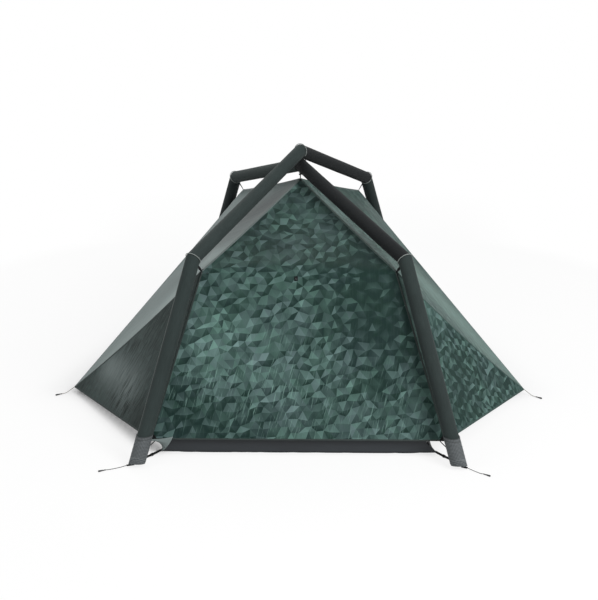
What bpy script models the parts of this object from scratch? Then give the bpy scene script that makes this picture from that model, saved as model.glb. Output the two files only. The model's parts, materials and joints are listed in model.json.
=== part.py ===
# An inflatable two-arch tent: crossing air tubes, a stretched fly sheet, an inner tent and its guys.
# Metres. X runs across the tent, Y from its front to its rear, Z up. The origin is on the ground.

import math

import bmesh
import bpy
from mathutils import Matrix, Vector

# The two crossing arches, by their centrelines
SHOULDER_SPACING = 1.670
FRONT_SHOULDER_HALF = 0.494
REAR_SHOULDER_HALF = 0.386
SHOULDER_HEIGHT = 0.8525
CROSSING_HEIGHT = 1.166
LEG_RUN = 0.494
TUBE_RADIUS = 0.0343
SLEEVE_WALL = 0.0015
BLADDER_WALL = 0.0010
FIT_GAP = 0.0004
MITRE_GAP = 0.0006
CROSSING_GAP = 0.0017
TUBE_SIDES = 24
BLADDER_SIDES = 16

# Piping over the elbow seams
PIPING_RADIUS = 0.0022
PIPING_ARC_SHARE = 0.72

# Boots on the four feet
BOOT_WALL = 0.0022
BOOT_HEIGHT = 0.105
BOOT_FLAT = 0.0015
SLEEVE_LIFT = 0.004
BLADDER_LIFT = 0.012
BOOT_SIDES = 24
BOOT_ARC_STEPS = 5
TAB_WIDTH = 0.016
TAB_THICKNESS = 0.0022
TAB_ROOT_SHARE = 0.4

# Valve in the rear leg of the upper arch
VALVE_DROP = 0.360
VALVE_FLANGE_RADIUS = 0.0190
VALVE_FLANGE_HEIGHT = 0.0035
VALVE_SEAT_DEPTH = 0.0070
VALVE_NECK_RADIUS = 0.0125
VALVE_NECK_HEIGHT = 0.0100
VALVE_STEM_RADIUS = 0.0085
VALVE_STEM_LENGTH = 0.0080
VALVE_BORE_RADIUS = 0.0055
VALVE_CAP_RADIUS = 0.0150
VALVE_CAP_THICKNESS = 0.0035
VALVE_SIDES = 20

# Fly sheet: its corners are set off from the shoulders, the crossing and the feet
FLY_THICKNESS = 0.0010
SEAM_INSET = 0.0006
FRONT_CORNER_OFFSET = (0.036, 0.005, 0.0615)
REAR_CORNER_OFFSET = (0.043, 0.005, 0.0745)
PEAK_DROP = 0.147
SIDE_CORNER_REACH = 1.168
SIDE_CORNER_BACK = -0.420
SIDE_CORNER_HEIGHT = 0.026
HEM_HEIGHT = 0.070
HEM_INSET = (0.038, 0.127)
FRONT_FOLD_SAG = 0.012
ROOF_FOLD_SAG = 0.018
FRONT_RIDGE_SAG = 0.018
TOP_RIDGE_SAG = 0.006
FOLD_SOFTNESS_SHARE = 0.07
FRONT_FOLD_SHARE = 0.46
ROOF_FOLD_SHARE = 0.70
DOOR_TOP_OFFSET = 0.075
DOOR_FOOT_OFFSET = 0.110
DOOR_HINGE_LIFT = 0.0018
FLY_COLUMNS = 10
FLY_ROWS = 12
SIDE_COLUMNS = 8
SIDE_ROWS = 8

# Zip sliders on the fly doors
SLIDER_LENGTH = 0.016
SLIDER_WIDTH = 0.010
SLIDER_THICKNESS = 0.0045
SLIDER_PULL_LENGTH = 0.030
SLIDER_PULL_WIDTH = 0.006
SLIDER_PULL_THICKNESS = 0.0016
SLIDER_START = 0.045
SLIDER_CLEARANCE = 0.0005
SLIDER_SET_IN = 0.010

# Straps that carry the fly
STRAP_WIDTH = 0.014
STRAP_THICKNESS = 0.0018
STRAP_END_GAP = 0.0004
STRAP_CORNER_GAP = 0.0008
STRAP_STEP = 0.0001
PEAK_STRAP_WIDTH = 0.010
FLOOR_STRAP_WIDTH = 0.015
FLOOR_STRAP_HEIGHT = 0.016
PULL_TAB_SIZE = (0.022, 0.0026, 0.030)
PULL_TAB_OFFSET = -0.014
PULL_TAB_DROP = 0.026

# Inner tent
TUB_THICKNESS = 0.0016
TUB_WALL_HEIGHT = 0.100
TUB_LEAN = 0.011
TUB_CORNER_INSET = (0.058, 0.014)
INNER_THICKNESS = 0.0010
INNER_TOP_OFFSET = (0.080, 0.070, 0.092)
INNER_CROWN = 0.165
INNER_SEAM_GAP = 0.0008
DOORWAY_ALONG_SHARES = (0.24, 0.72)
DOORWAY_UP_SHARES = (0.09, 0.80)
DOORWAY_ALONG_STEPS = (2, 4, 2)
DOORWAY_UP_STEPS = (1, 3, 1)
DOOR_GAP = 0.0008
CANOPY_COLUMNS = 6
CANOPY_WALL_ROWS = 3
CANOPY_TOP_ROWS = 10

# Guy cords and their hooks. Each route is a short list of points chosen by hand.
CORD_RADIUS = 0.0015
CORD_POINTS_PER_SPAN = 5
HOOK_LENGTH = 0.034
HOOK_RADIUS = 0.0045
HOOK_TIP_RADIUS = 0.0018
HOOK_SIDES = 10
FOOT_GUYS = {
    "front_left": [(-0.776, -1.289, 0.008), (-0.805, -1.303, 0.005), (-0.845, -1.318, 0.0025), (-0.866, -1.328, 0.0045)],
    "front_right": [(0.768, -1.294, 0.008), (0.790, -1.312, 0.005), (0.818, -1.334, 0.0025), (0.834, -1.346, 0.0045)],
    "rear_left": [(-0.660, 1.295, 0.008), (-0.688, 1.312, 0.005), (-0.725, 1.334, 0.0025), (-0.745, 1.346, 0.0045)],
    "rear_right": [(0.660, 1.295, 0.008), (0.688, 1.312, 0.005), (0.725, 1.334, 0.0025), (0.745, 1.346, 0.0045)],
}
SIDE_GUYS = {
    "left": [(-1.1683, -0.4202, 0.0258), (-1.186, -0.433, 0.015), (-1.207, -0.447, 0.005), (-1.226, -0.459, 0.0045)],
    "right": [(1.1683, -0.4202, 0.0258), (1.186, -0.434, 0.015), (1.205, -0.449, 0.005), (1.222, -0.463, 0.0045)],
}

GROUND_CUTTER_DEPTH = 0.050
CUT_OVERRUN = 0.010
WELD_DISTANCE = 0.00001

COLOURS = {
    "sleeve": ((0.050, 0.058, 0.058, 1.0), 0.85, 0.0),
    "bladder": ((0.62, 0.62, 0.58, 1.0), 0.40, 0.0),
    "piping": ((0.42, 0.44, 0.43, 1.0), 0.75, 0.0),
    "boot": ((0.110, 0.115, 0.118, 1.0), 0.80, 0.0),
    "webbing": ((0.012, 0.013, 0.014, 1.0), 0.80, 0.0),
    "fly": ((0.040, 0.095, 0.085, 1.0), 0.55, 0.0),
    "tub": ((0.018, 0.020, 0.021, 1.0), 0.60, 0.0),
    "inner": ((0.24, 0.26, 0.25, 1.0), 0.85, 0.0),
    "plastic": ((0.020, 0.021, 0.022, 1.0), 0.40, 0.0),
    "zip": ((0.16, 0.17, 0.17, 1.0), 0.35, 0.8),
    "cord": ((0.030, 0.034, 0.034, 1.0), 0.85, 0.0),
}


def clear_scene():
    for item in list(bpy.data.objects):
        bpy.data.objects.remove(item, do_unlink=True)


def make_collection(name):
    made = bpy.data.collections.new(name)
    bpy.context.scene.collection.children.link(made)
    return made


def make_material(name):
    colour, roughness, metallic = COLOURS[name]
    material = bpy.data.materials.new(name)
    material.use_nodes = True
    shader = material.node_tree.nodes["Principled BSDF"]
    shader.inputs["Base Color"].default_value = colour
    shader.inputs["Roughness"].default_value = roughness
    shader.inputs["Metallic"].default_value = metallic
    return material


clear_scene()
TENT = make_collection("inflatable_tent")
CUTTERS = make_collection("cutters")
MATERIALS = {name: make_material(name) for name in COLOURS}


def add_object(name, data, material, origin=None):
    made = bpy.data.objects.new(name, data)
    TENT.objects.link(made)
    data.materials.append(MATERIALS[material])
    if origin is not None:
        data.transform(Matrix.Translation(-origin))
        made.location = origin
    return made


def mesh_from(shape, name, smooth=True):
    bmesh.ops.remove_doubles(shape, verts=shape.verts, dist=WELD_DISTANCE)
    bmesh.ops.recalc_face_normals(shape, faces=shape.faces)
    mesh = bpy.data.meshes.new(name)
    shape.to_mesh(mesh)
    shape.free()
    if smooth:
        mesh.shade_smooth()
        mesh.set_sharp_from_angle(angle=math.radians(35))
    return mesh


def add_cutter(name, mesh):
    cutter = bpy.data.objects.new(name, mesh)
    CUTTERS.objects.link(cutter)
    cutter.hide_render = True
    cutter.display_type = "WIRE"
    return cutter


def boolean(target, other, operation):
    step = target.modifiers.new(other.name, "BOOLEAN")
    step.operation = operation
    step.solver = "EXACT"
    step.object = other
    return step


def frame_along(point, along, across):
    """A matrix at the point, with Z along the direction and X as near as it can be to across."""
    up = along.normalized()
    side = (across - up * across.dot(up)).normalized()
    matrix = Matrix((side, up.cross(side), up)).transposed().to_4x4()
    matrix.translation = point
    return matrix


def polyline_at(points, distance):
    """The point a given way along a polyline."""
    for start, end in zip(points, points[1:]):
        length = (end - start).length
        if distance <= length:
            return start.lerp(end, distance / length)
        distance -= length
    return points[-1].copy()


def smooth_route(points, steps):
    """Points of a smooth curve through the route's own points."""
    route = [Vector(p) for p in points]
    route = [2 * route[0] - route[1]] + route + [2 * route[-1] - route[-2]]
    out = []
    for before, start, end, after in zip(route, route[1:], route[2:], route[3:]):
        for step in range(steps):
            t = step / steps
            out.append(
                0.5
                * (
                    2 * start
                    + (end - before) * t
                    + (2 * before - 5 * start + 4 * end - after) * t**2
                    + (3 * start - before - 3 * end + after) * t**3
                )
            )
    out.append(route[-2])
    return out


# The arches


class Arch:
    """One arch in its vertical plane: foot, shoulder, crossing, shoulder, foot."""

    def __init__(self, side, crossing_height, foot_height):
        front = Vector((side * FRONT_SHOULDER_HALF, -SHOULDER_SPACING / 2, SHOULDER_HEIGHT))
        rear = Vector((-side * REAR_SHOULDER_HALF, SHOULDER_SPACING / 2, SHOULDER_HEIGHT))
        plan = rear - front
        self.direction = plan.normalized()
        share = FRONT_SHOULDER_HALF / (FRONT_SHOULDER_HALF + REAR_SHOULDER_HALF)
        crossing = front.lerp(rear, share)
        crossing.z = crossing_height
        drop = Vector((0, 0, SHOULDER_HEIGHT - foot_height))
        self.joints = [
            front - self.direction * LEG_RUN - drop,
            front,
            crossing,
            rear,
            rear + self.direction * LEG_RUN - drop,
        ]
        self.side = self.direction.cross(Vector((0, 0, 1)))

    def along(self, segment):
        return (self.joints[segment + 1] - self.joints[segment]).normalized()

    def mitre_normal(self, joint):
        return (self.along(joint - 1) + self.along(joint)).normalized()

    def half_turn(self, joint):
        return self.along(joint - 1).angle(self.along(joint)) / 2

    def ring(self, segment, plane_point, plane_normal, radius, sides):
        """Points where a tube of this radius round a segment's line meets a plane."""
        along = self.along(segment)
        up = self.side.cross(along)
        points = []
        for k in range(sides):
            turn = 2 * math.pi * k / sides
            start = self.joints[segment] + radius * (math.cos(turn) * self.side + math.sin(turn) * up)
            slide = (plane_point - start).dot(plane_normal) / along.dot(plane_normal)
            points.append(start + along * slide)
        return points


BOOT_INNER = TUBE_RADIUS + FIT_GAP
BOOT_OUTER = BOOT_INNER + BOOT_WALL
FOOT_HEIGHT = BOOT_OUTER - BOOT_FLAT


def crossing_drop(arch):
    """How far the lower arch passes under the upper one."""
    return 2 * (TUBE_RADIUS / math.cos(arch.half_turn(2))) + CROSSING_GAP


UPPER = Arch(-1, CROSSING_HEIGHT, FOOT_HEIGHT)
LOWER = Arch(1, CROSSING_HEIGHT - crossing_drop(UPPER), FOOT_HEIGHT)


def bridge(shape, first, second):
    count = len(first)
    for k in range(count):
        shape.faces.new((first[k], first[(k + 1) % count], second[(k + 1) % count], second[k]))


def tube_mesh(name, outer_rings, inner_rings, closed_ends):
    """A hollow tube lofted through matching rings, with each end open or closed."""
    shape = bmesh.new()
    outer = [[shape.verts.new(p) for p in ring] for ring in outer_rings]
    inner = [[shape.verts.new(p) for p in ring] for ring in inner_rings]
    for rings in (outer, inner):
        for first, second in zip(rings, rings[1:]):
            bridge(shape, first, second)
    for end, closed in zip((0, -1), closed_ends):
        if closed:
            shape.faces.new(outer[end])
            shape.faces.new(inner[end])
        else:
            bridge(shape, outer[end], inner[end])
    return mesh_from(shape, name)


SEGMENTS = ("front_leg", "front_beam", "rear_beam", "rear_leg")


def sleeve_rings(arch, segment, radius):
    along = arch.along(segment)
    rings = []
    for joint, sign in ((segment, 1), (segment + 1, -1)):
        if joint in (0, len(arch.joints) - 1):
            normal = along
            point = arch.joints[joint] + along * SLEEVE_LIFT * sign
        else:
            normal = arch.mitre_normal(joint)
            point = arch.joints[joint] + normal * (MITRE_GAP / 2) * sign
        rings.append(arch.ring(segment, point, normal, radius, TUBE_SIDES))
    return rings


def build_sleeves(name, arch):
    for segment, place in enumerate(SEGMENTS):
        mesh = tube_mesh(
            f"{name}_{place}_sleeve",
            sleeve_rings(arch, segment, TUBE_RADIUS),
            sleeve_rings(arch, segment, TUBE_RADIUS - SLEEVE_WALL),
            (False, False),
        )
        add_object(mesh.name, mesh, "sleeve")


def build_bladder(name, arch, closed_rear):
    outer_radius = TUBE_RADIUS - SLEEVE_WALL - FIT_GAP
    outer, inner = [], []
    last = len(arch.joints) - 1
    for joint in range(last + 1):
        segment = min(joint, last - 1)
        along = arch.along(segment)
        normal = along if joint in (0, last) else arch.mitre_normal(joint)
        sign = 1 if joint == 0 else -1
        shift = BLADDER_LIFT if joint in (0, last) else 0
        point = arch.joints[joint] + along * shift * sign
        wall = BLADDER_WALL if joint == 0 or (joint == last and closed_rear) else 0
        inside = point + along * wall * sign
        outer.append(arch.ring(segment, point, normal, outer_radius, BLADDER_SIDES))
        inner.append(arch.ring(segment, inside, normal, outer_radius - BLADDER_WALL, BLADDER_SIDES))
    mesh = tube_mesh(f"{name}_bladder", outer, inner, (True, closed_rear))
    return add_object(mesh.name, mesh, "bladder")


def curve_object(name, points, radius, material, cyclic=False, resolution=1):
    curve = bpy.data.curves.new(name, "CURVE")
    curve.dimensions = "3D"
    curve.bevel_depth = radius
    curve.bevel_resolution = resolution
    curve.use_fill_caps = not cyclic
    spline = curve.splines.new("POLY")
    spline.points.add(len(points) - 1)
    for point, place in zip(spline.points, points):
        point.co = (*place, 1)
    spline.use_cyclic_u = cyclic
    return add_object(name, curve, material)


def build_piping(name, arch, joint, open_side):
    """The cord over an elbow seam. open_side is 0 for a whole ring, 1 to leave the top bare, -1 the underside."""
    radius = TUBE_RADIUS + FIT_GAP + PIPING_RADIUS
    ring = arch.ring(joint, arch.joints[joint], arch.mitre_normal(joint), radius, TUBE_SIDES)
    if not open_side:
        return curve_object(name, ring, PIPING_RADIUS, "piping", cyclic=True)
    kept = round(TUBE_SIDES * PIPING_ARC_SHARE)
    middle = round(TUBE_SIDES * (0.25 if open_side < 0 else 0.75))
    arc = [ring[(middle - kept // 2 + k) % TUBE_SIDES] for k in range(kept + 1)]
    return curve_object(name, arc, PIPING_RADIUS, "piping")


# Boots


def boot_profile():
    """Radius and height, from the cavity's floor, up its wall, over the rim and down the outside."""
    floor = SLEEVE_LIFT - FIT_GAP
    points = [(0, floor), (BOOT_INNER, floor), (BOOT_INNER, BOOT_HEIGHT), (BOOT_OUTER, BOOT_HEIGHT)]
    for step in range(BOOT_ARC_STEPS + 1):
        turn = math.pi / 2 * step / BOOT_ARC_STEPS
        points.append((BOOT_OUTER * math.cos(turn), -BOOT_OUTER * math.sin(turn)))
    return points


def turned_object(name, profile, matrix, material, sides):
    shape = bmesh.new()
    verts = [shape.verts.new((radius, 0, height)) for radius, height in profile]
    for first, second in zip(verts, verts[1:]):
        shape.edges.new((first, second))
    bmesh.ops.remove_doubles(shape, verts=shape.verts, dist=WELD_DISTANCE)
    mesh = bpy.data.meshes.new(name)
    shape.to_mesh(mesh)
    shape.free()
    made = add_object(name, mesh, material)
    made.matrix_world = matrix
    screw = made.modifiers.new("turn", "SCREW")
    screw.steps = sides
    screw.render_steps = sides
    screw.use_merge_vertices = True
    screw.merge_threshold = WELD_DISTANCE
    screw.use_smooth_shade = True
    return made


def box_mesh(name, size, matrix):
    shape = bmesh.new()
    bmesh.ops.create_cube(shape, size=1, matrix=matrix @ Matrix.Diagonal((*size, 1)))
    return mesh_from(shape, name, smooth=False)


def ground_cutter():
    reach = 2 * (SIDE_CORNER_REACH + SHOULDER_SPACING)
    centre = Matrix.Translation((0, 0, -GROUND_CUTTER_DEPTH / 2))
    return add_cutter("ground", box_mesh("ground", (reach, reach, GROUND_CUTTER_DEPTH), centre))


def build_boot(place, arch, joint, ground):
    foot = arch.joints[joint]
    neighbour = arch.joints[1 if joint == 0 else joint - 1]
    leg = (neighbour - foot).normalized()
    boot = turned_object(
        f"{place}_boot", boot_profile(), frame_along(foot, leg, arch.side), "boot", BOOT_SIDES
    )
    tip = Vector(FOOT_GUYS[place][0])
    start = Vector((foot.x, foot.y, tip.z))
    reach = tip - start
    root = start + reach.normalized() * BOOT_OUTER * TAB_ROOT_SHARE
    end = tip - reach.normalized() * STRAP_END_GAP
    matrix = frame_along((root + end) / 2, end - root, Vector((0, 0, 1)))
    tab = box_mesh(f"{place}_tab", (TAB_THICKNESS, TAB_WIDTH, (end - root).length), matrix)
    boolean(boot, add_cutter(tab.name, tab), "UNION")
    boolean(boot, ground, "DIFFERENCE")
    return boot


# Valve


def valve_frame():
    shoulder, foot = UPPER.joints[3], UPPER.joints[4]
    along = (foot - shoulder).normalized()
    outward = UPPER.side * -1
    centre = shoulder + along * VALVE_DROP
    return frame_along(centre, outward, along), along


def disc_cutter(name, radius, low, high, matrix, sides):
    """A round cutter along the matrix's Z from low to high."""
    shape = bmesh.new()
    bmesh.ops.create_cone(
        shape,
        cap_ends=True,
        segments=sides,
        radius1=radius,
        radius2=radius,
        depth=high - low,
        matrix=matrix @ Matrix.Translation((0, 0, (low + high) / 2)),
    )
    return add_cutter(name, mesh_from(shape, name))


def build_valve(sleeve, bladder):
    matrix, along = valve_frame()
    base = TUBE_RADIUS - SLEEVE_WALL - VALVE_STEM_LENGTH
    seat = TUBE_RADIUS - VALVE_SEAT_DEPTH
    flange_top = TUBE_RADIUS + VALVE_FLANGE_HEIGHT
    neck_top = flange_top + VALVE_NECK_HEIGHT
    profile = [
        (0, neck_top),
        (VALVE_NECK_RADIUS, neck_top),
        (VALVE_NECK_RADIUS, flange_top),
        (VALVE_FLANGE_RADIUS, flange_top),
        (VALVE_FLANGE_RADIUS, seat),
        (0, seat),
    ]
    valve = turned_object("inflation_valve", profile, matrix, "plastic", VALVE_SIDES)
    # The flange is hollowed to sit on the tube, and its stem goes through the tube's wall.
    tube = frame_along(matrix.translation, along, UPPER.side)
    reach = VALVE_FLANGE_RADIUS + CUT_OVERRUN
    boolean(valve, disc_cutter("valve_saddle", TUBE_RADIUS + FIT_GAP, -reach, reach, tube, TUBE_SIDES), "DIFFERENCE")
    middle = (flange_top + neck_top) / 2
    boolean(valve, disc_cutter("valve_stem", VALVE_STEM_RADIUS, base, middle, matrix, VALVE_SIDES), "UNION")
    end = neck_top + CUT_OVERRUN
    boolean(valve, disc_cutter("valve_bore", VALVE_BORE_RADIUS, 0, end, matrix, VALVE_SIDES), "DIFFERENCE")
    hole = disc_cutter("valve_hole", VALVE_STEM_RADIUS + FIT_GAP, 0, end, matrix, VALVE_SIDES)
    boolean(sleeve, hole, "DIFFERENCE")
    boolean(bladder, hole, "DIFFERENCE")
    cap = bmesh.new()
    bmesh.ops.create_cone(
        cap,
        cap_ends=True,
        segments=VALVE_SIDES,
        radius1=VALVE_CAP_RADIUS,
        radius2=VALVE_CAP_RADIUS,
        depth=VALVE_CAP_THICKNESS,
        matrix=matrix @ Matrix.Translation((0, 0, neck_top + FIT_GAP + VALVE_CAP_THICKNESS / 2)),
    )
    hinge = matrix @ Vector((-VALVE_CAP_RADIUS, 0, neck_top + FIT_GAP))
    add_object("valve_cap", mesh_from(cap, "valve_cap"), "plastic", origin=hinge)


# Fly sheet


def mirrored(point, side):
    return Vector((point.x * side, point.y, point.z))


FRONT_SHOULDER = LOWER.joints[1]
REAR_SHOULDER = UPPER.joints[3]
FRONT_FOOT = LOWER.joints[0]
REAR_FOOT = UPPER.joints[4]
PEAK = UPPER.joints[2] - Vector((0, 0, PEAK_DROP))
FRONT_CORNER = FRONT_SHOULDER + Vector((-FRONT_CORNER_OFFSET[0], FRONT_CORNER_OFFSET[1], -FRONT_CORNER_OFFSET[2]))
REAR_CORNER = REAR_SHOULDER - Vector(REAR_CORNER_OFFSET)
SIDE_CORNER = Vector((SIDE_CORNER_REACH, SIDE_CORNER_BACK, SIDE_CORNER_HEIGHT))
FRONT_HEM = Vector((FRONT_FOOT.x - HEM_INSET[0], FRONT_FOOT.y + HEM_INSET[1], HEM_HEIGHT))
REAR_HEM = Vector((REAR_FOOT.x - HEM_INSET[0], REAR_FOOT.y - HEM_INSET[1], HEM_HEIGHT))
DOOR_TOP = REAR_CORNER + (SIDE_CORNER - REAR_CORNER).normalized() * DOOR_TOP_OFFSET
DOOR_FOOT = REAR_HEM + (SIDE_CORNER - REAR_HEM).normalized() * DOOR_FOOT_OFFSET


def sagged(start, end, share, sag):
    """A point along an edge that hangs by sag at its middle."""
    point = start.lerp(end, share)
    point.z -= 4 * sag * share * (1 - share)
    return point


def softened(share, fold, softness):
    """How far past the fold a share lies, rounded off within softness of it."""
    past = share - fold
    if abs(past) >= softness:
        return max(past, 0)
    return (past + softness) ** 2 / (4 * softness)


def folded_sheet(left_edge, right_edge, fold, sag):
    """A sheet between two edges that both bend at the fold share, with the bend soft between them."""

    def surface(across, up):
        middle = 4 * across * (1 - across)
        soft = max(FOLD_SOFTNESS_SHARE * middle, WELD_DISTANCE)
        below = left_edge(min(up, fold)).lerp(right_edge(min(up, fold)), across)
        if up <= fold - soft:
            return below
        at_fold = left_edge(fold).lerp(right_edge(fold), across)
        before = left_edge(fold - soft).lerp(right_edge(fold - soft), across)
        after = left_edge(fold + soft).lerp(right_edge(fold + soft), across)
        if up >= fold + soft:
            point = left_edge(up).lerp(right_edge(up), across)
        else:
            incoming = (at_fold - before) / soft
            outgoing = (after - at_fold) / soft
            past = softened(up, fold, soft)
            point = at_fold + incoming * (up - fold) + (outgoing - incoming) * past
        share = (up - fold) / (1 - fold)
        point.z -= sag * middle * 4 * max(share, 0) * (1 - max(share, 0))
        return point

    return surface


def inset_point(surface, across, up, inset):
    """The surface's point with every edge drawn in by the same length."""
    height = (surface(across, 1) - surface(across, 0)).length
    edge = min(inset / max(height, inset), 0.5)
    up = edge + up * (1 - 2 * edge)
    width = (surface(1, up) - surface(0, up)).length
    edge = min(inset / max(width, inset), 0.5)
    return surface(edge + across * (1 - 2 * edge), up)


def grid_shape(across_shares, up_shares, place):
    """A grid primitive whose points are moved onto place(across, up)."""
    shape = bmesh.new()
    columns, rows = len(across_shares) - 1, len(up_shares) - 1
    bmesh.ops.create_grid(shape, x_segments=columns, y_segments=rows, size=1)
    for vert in shape.verts:
        column = round((vert.co.x + 1) / 2 * columns)
        row = round((vert.co.y + 1) / 2 * rows)
        vert.co = place(across_shares[column], up_shares[row])
    return shape


def even_shares(count):
    return [k / count for k in range(count + 1)]


def fold_shares(count, fold):
    """Even shares with extra rows close to a fold."""
    shares = even_shares(count)
    for part in (-FOLD_SOFTNESS_SHARE, -FOLD_SOFTNESS_SHARE / 2, 0, FOLD_SOFTNESS_SHARE / 2, FOLD_SOFTNESS_SHARE):
        shares.append(fold + part)
    shares = sorted(shares)
    step = FOLD_SOFTNESS_SHARE / 3
    kept = [0.0]
    for share in shares[1:-1]:
        if share - kept[-1] > step and 1 - share > step:
            kept.append(share)
    return kept + [1.0]


def solid_sheet(name, shape, thickness, material, outward):
    """Gives an open sheet its thickness. outward is a direction that its outer face looks along."""
    bmesh.ops.remove_doubles(shape, verts=shape.verts, dist=WELD_DISTANCE)
    bmesh.ops.recalc_face_normals(shape, faces=shape.faces)
    shape.normal_update()
    facing = sum((face.normal * face.calc_area() for face in shape.faces), Vector())
    if facing.dot(outward) < 0:
        bmesh.ops.reverse_faces(shape, faces=shape.faces)
    mesh = bpy.data.meshes.new(name)
    shape.to_mesh(mesh)
    shape.free()
    mesh.shade_smooth()
    made = add_object(name, mesh, material)
    wall = made.modifiers.new("wall", "SOLIDIFY")
    wall.thickness = thickness
    wall.offset = 0
    wall.use_even_offset = True
    return made


def two_part_edge(points, fold, sags):
    """An edge through three points, with the middle one at the fold share."""

    def edge(share):
        if share <= fold:
            return sagged(points[0], points[1], share / fold, sags[0])
        return sagged(points[1], points[2], (share - fold) / (1 - fold), sags[1])

    return edge


def end_surface(hem, corner):
    left = two_part_edge((mirrored(hem, -1), mirrored(corner, -1), PEAK), FRONT_FOLD_SHARE, (0, TOP_RIDGE_SAG))
    right = two_part_edge((hem, corner, PEAK), FRONT_FOLD_SHARE, (0, TOP_RIDGE_SAG))
    return folded_sheet(left, right, FRONT_FOLD_SHARE, FRONT_FOLD_SAG)


def build_fly_front():
    surface = end_surface(FRONT_HEM, FRONT_CORNER)
    rows = fold_shares(FLY_ROWS, FRONT_FOLD_SHARE)
    shape = grid_shape(even_shares(FLY_COLUMNS), rows, lambda a, b: inset_point(surface, a, b, SEAM_INSET))
    solid_sheet("fly_front", shape, FLY_THICKNESS, "fly", Vector((0, -1, 1)))


def build_fly_rear():
    """The rear end, with a strip at each side that turns the corner as far as the door's zip."""
    surface = end_surface(REAR_HEM, REAR_CORNER)
    rows = fold_shares(FLY_ROWS, FRONT_FOLD_SHARE)
    shape = grid_shape(even_shares(FLY_COLUMNS), rows, lambda a, b: inset_point(surface, a, b, SEAM_INSET))
    main_rows = [inset_point(surface, 1, row, SEAM_INSET) for row in rows if row < FRONT_FOLD_SHARE]
    for side in (-1, 1):
        edge = [mirrored(point, side) for point in main_rows]
        height = len(edge) - 1
        zip_line = [zip_point(k / height, side) for k in range(height + 1)]
        last = None
        for near, far in zip(edge, zip_line):
            pair = (shape.verts.new(near), shape.verts.new(far))
            if last:
                shape.faces.new((last[0], last[1], pair[1], pair[0]))
            last = pair
    solid_sheet("fly_rear", shape, FLY_THICKNESS, "fly", Vector((0, 1, 1)))


def zip_point(share, side):
    """A point of the strip's zip edge, from the hem up, drawn in from the door and from the ridge."""
    inward = (DOOR_FOOT - SIDE_CORNER).normalized() * SEAM_INSET
    low = DOOR_FOOT + inward
    top = DOOR_TOP + inward
    run = (top - low).normalized()
    point = (low + run * SEAM_INSET).lerp(top - run * 2 * SEAM_INSET, share)
    return mirrored(point, side)


def build_fly_roof(name, side):
    front, rear = mirrored(FRONT_CORNER, side), mirrored(REAR_CORNER, side)
    low = mirrored(SIDE_CORNER, side)
    near = two_part_edge((low, front, PEAK), ROOF_FOLD_SHARE, (FRONT_RIDGE_SAG, TOP_RIDGE_SAG))
    far = two_part_edge((low, rear, PEAK), ROOF_FOLD_SHARE, (0, TOP_RIDGE_SAG))
    surface = folded_sheet(near, far, ROOF_FOLD_SHARE, ROOF_FOLD_SAG)
    rows = fold_shares(FLY_ROWS, ROOF_FOLD_SHARE)
    shape = grid_shape(even_shares(FLY_COLUMNS), rows, lambda a, b: inset_point(surface, a, b, SEAM_INSET))
    solid_sheet(name, shape, FLY_THICKNESS, "fly", Vector((side, 0, 1)))


def triangle_surface(top, low_near, low_far, near_sag):
    """A three-sided sheet: the share up runs from the hem to the top corner."""

    def surface(across, up):
        near = sagged(low_near, top, up, near_sag)
        return near.lerp(low_far.lerp(top, up), across)

    return surface


def build_triangle(name, surface, outward):
    shape = grid_shape(
        even_shares(SIDE_COLUMNS),
        even_shares(SIDE_ROWS),
        lambda a, b: inset_point(surface, a, b, SEAM_INSET),
    )
    return solid_sheet(name, shape, FLY_THICKNESS, "fly", outward)


def door_outward(side):
    """The direction that the closed door's outer face looks along."""
    low, top, foot = (mirrored(point, side) for point in (SIDE_CORNER, DOOR_TOP, DOOR_FOOT))
    outward = (top - low).cross(foot - low).normalized()
    return outward if outward.x * side > 0 else -outward


def build_fly_sides():
    for place, side in (("left", -1), ("right", 1)):
        low = mirrored(SIDE_CORNER, side)
        build_fly_roof(f"fly_roof_{place}", side)
        front = triangle_surface(mirrored(FRONT_CORNER, side), low, mirrored(FRONT_HEM, side), FRONT_RIDGE_SAG)
        build_triangle(f"fly_front_side_{place}", front, Vector((side, -1, 0)))
        door = triangle_surface(mirrored(DOOR_TOP, side), low, mirrored(DOOR_FOOT, side), 0)
        made = build_triangle(f"fly_door_{place}", door, Vector((side, 1, 0)))
        hinge = low + door_outward(side) * DOOR_HINGE_LIFT
        made.data.transform(Matrix.Translation(-hinge))
        made.location = hinge


def build_slider(place, side):
    """A zip slider on the outside of the fixed strip, near the foot of the zip."""
    low, top = mirrored(DOOR_FOOT, side), mirrored(DOOR_TOP, side)
    hem, corner = mirrored(REAR_HEM, side), mirrored(REAR_CORNER, side)
    run = (top - low).normalized()
    inward = (hem - low).normalized()
    outward = run.cross(inward) * (1 if side < 0 else -1)
    outward.normalize()
    if outward.x * side < 0:
        outward = -outward
    inward = (inward - run * inward.dot(run)).normalized()
    lift = FLY_THICKNESS / 2 + SLIDER_CLEARANCE + SLIDER_THICKNESS / 2
    centre = low + run * SLIDER_START + inward * SLIDER_SET_IN + outward * lift
    matrix = frame_along(centre, run, outward)
    body = box_mesh("slider", (SLIDER_THICKNESS, SLIDER_WIDTH, SLIDER_LENGTH), matrix)
    slider = add_object(f"zip_slider_{place}", body, "zip")
    hang = -(SLIDER_LENGTH + SLIDER_PULL_LENGTH) / 2 + SLIDER_PULL_WIDTH
    pull_matrix = matrix @ Matrix.Translation((0, 0, hang))
    pull = box_mesh(
        f"slider_pull_{place}", (SLIDER_PULL_THICKNESS, SLIDER_PULL_WIDTH, SLIDER_PULL_LENGTH), pull_matrix
    )
    boolean(slider, add_cutter(pull.name, pull), "UNION")
    return slider


# Straps


def strap(name, start, end, width, flat_towards, material="webbing"):
    matrix = frame_along((start + end) / 2, end - start, flat_towards)
    mesh = box_mesh(name, (STRAP_THICKNESS, width, (end - start).length), matrix)
    return add_object(name, mesh, material)


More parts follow.
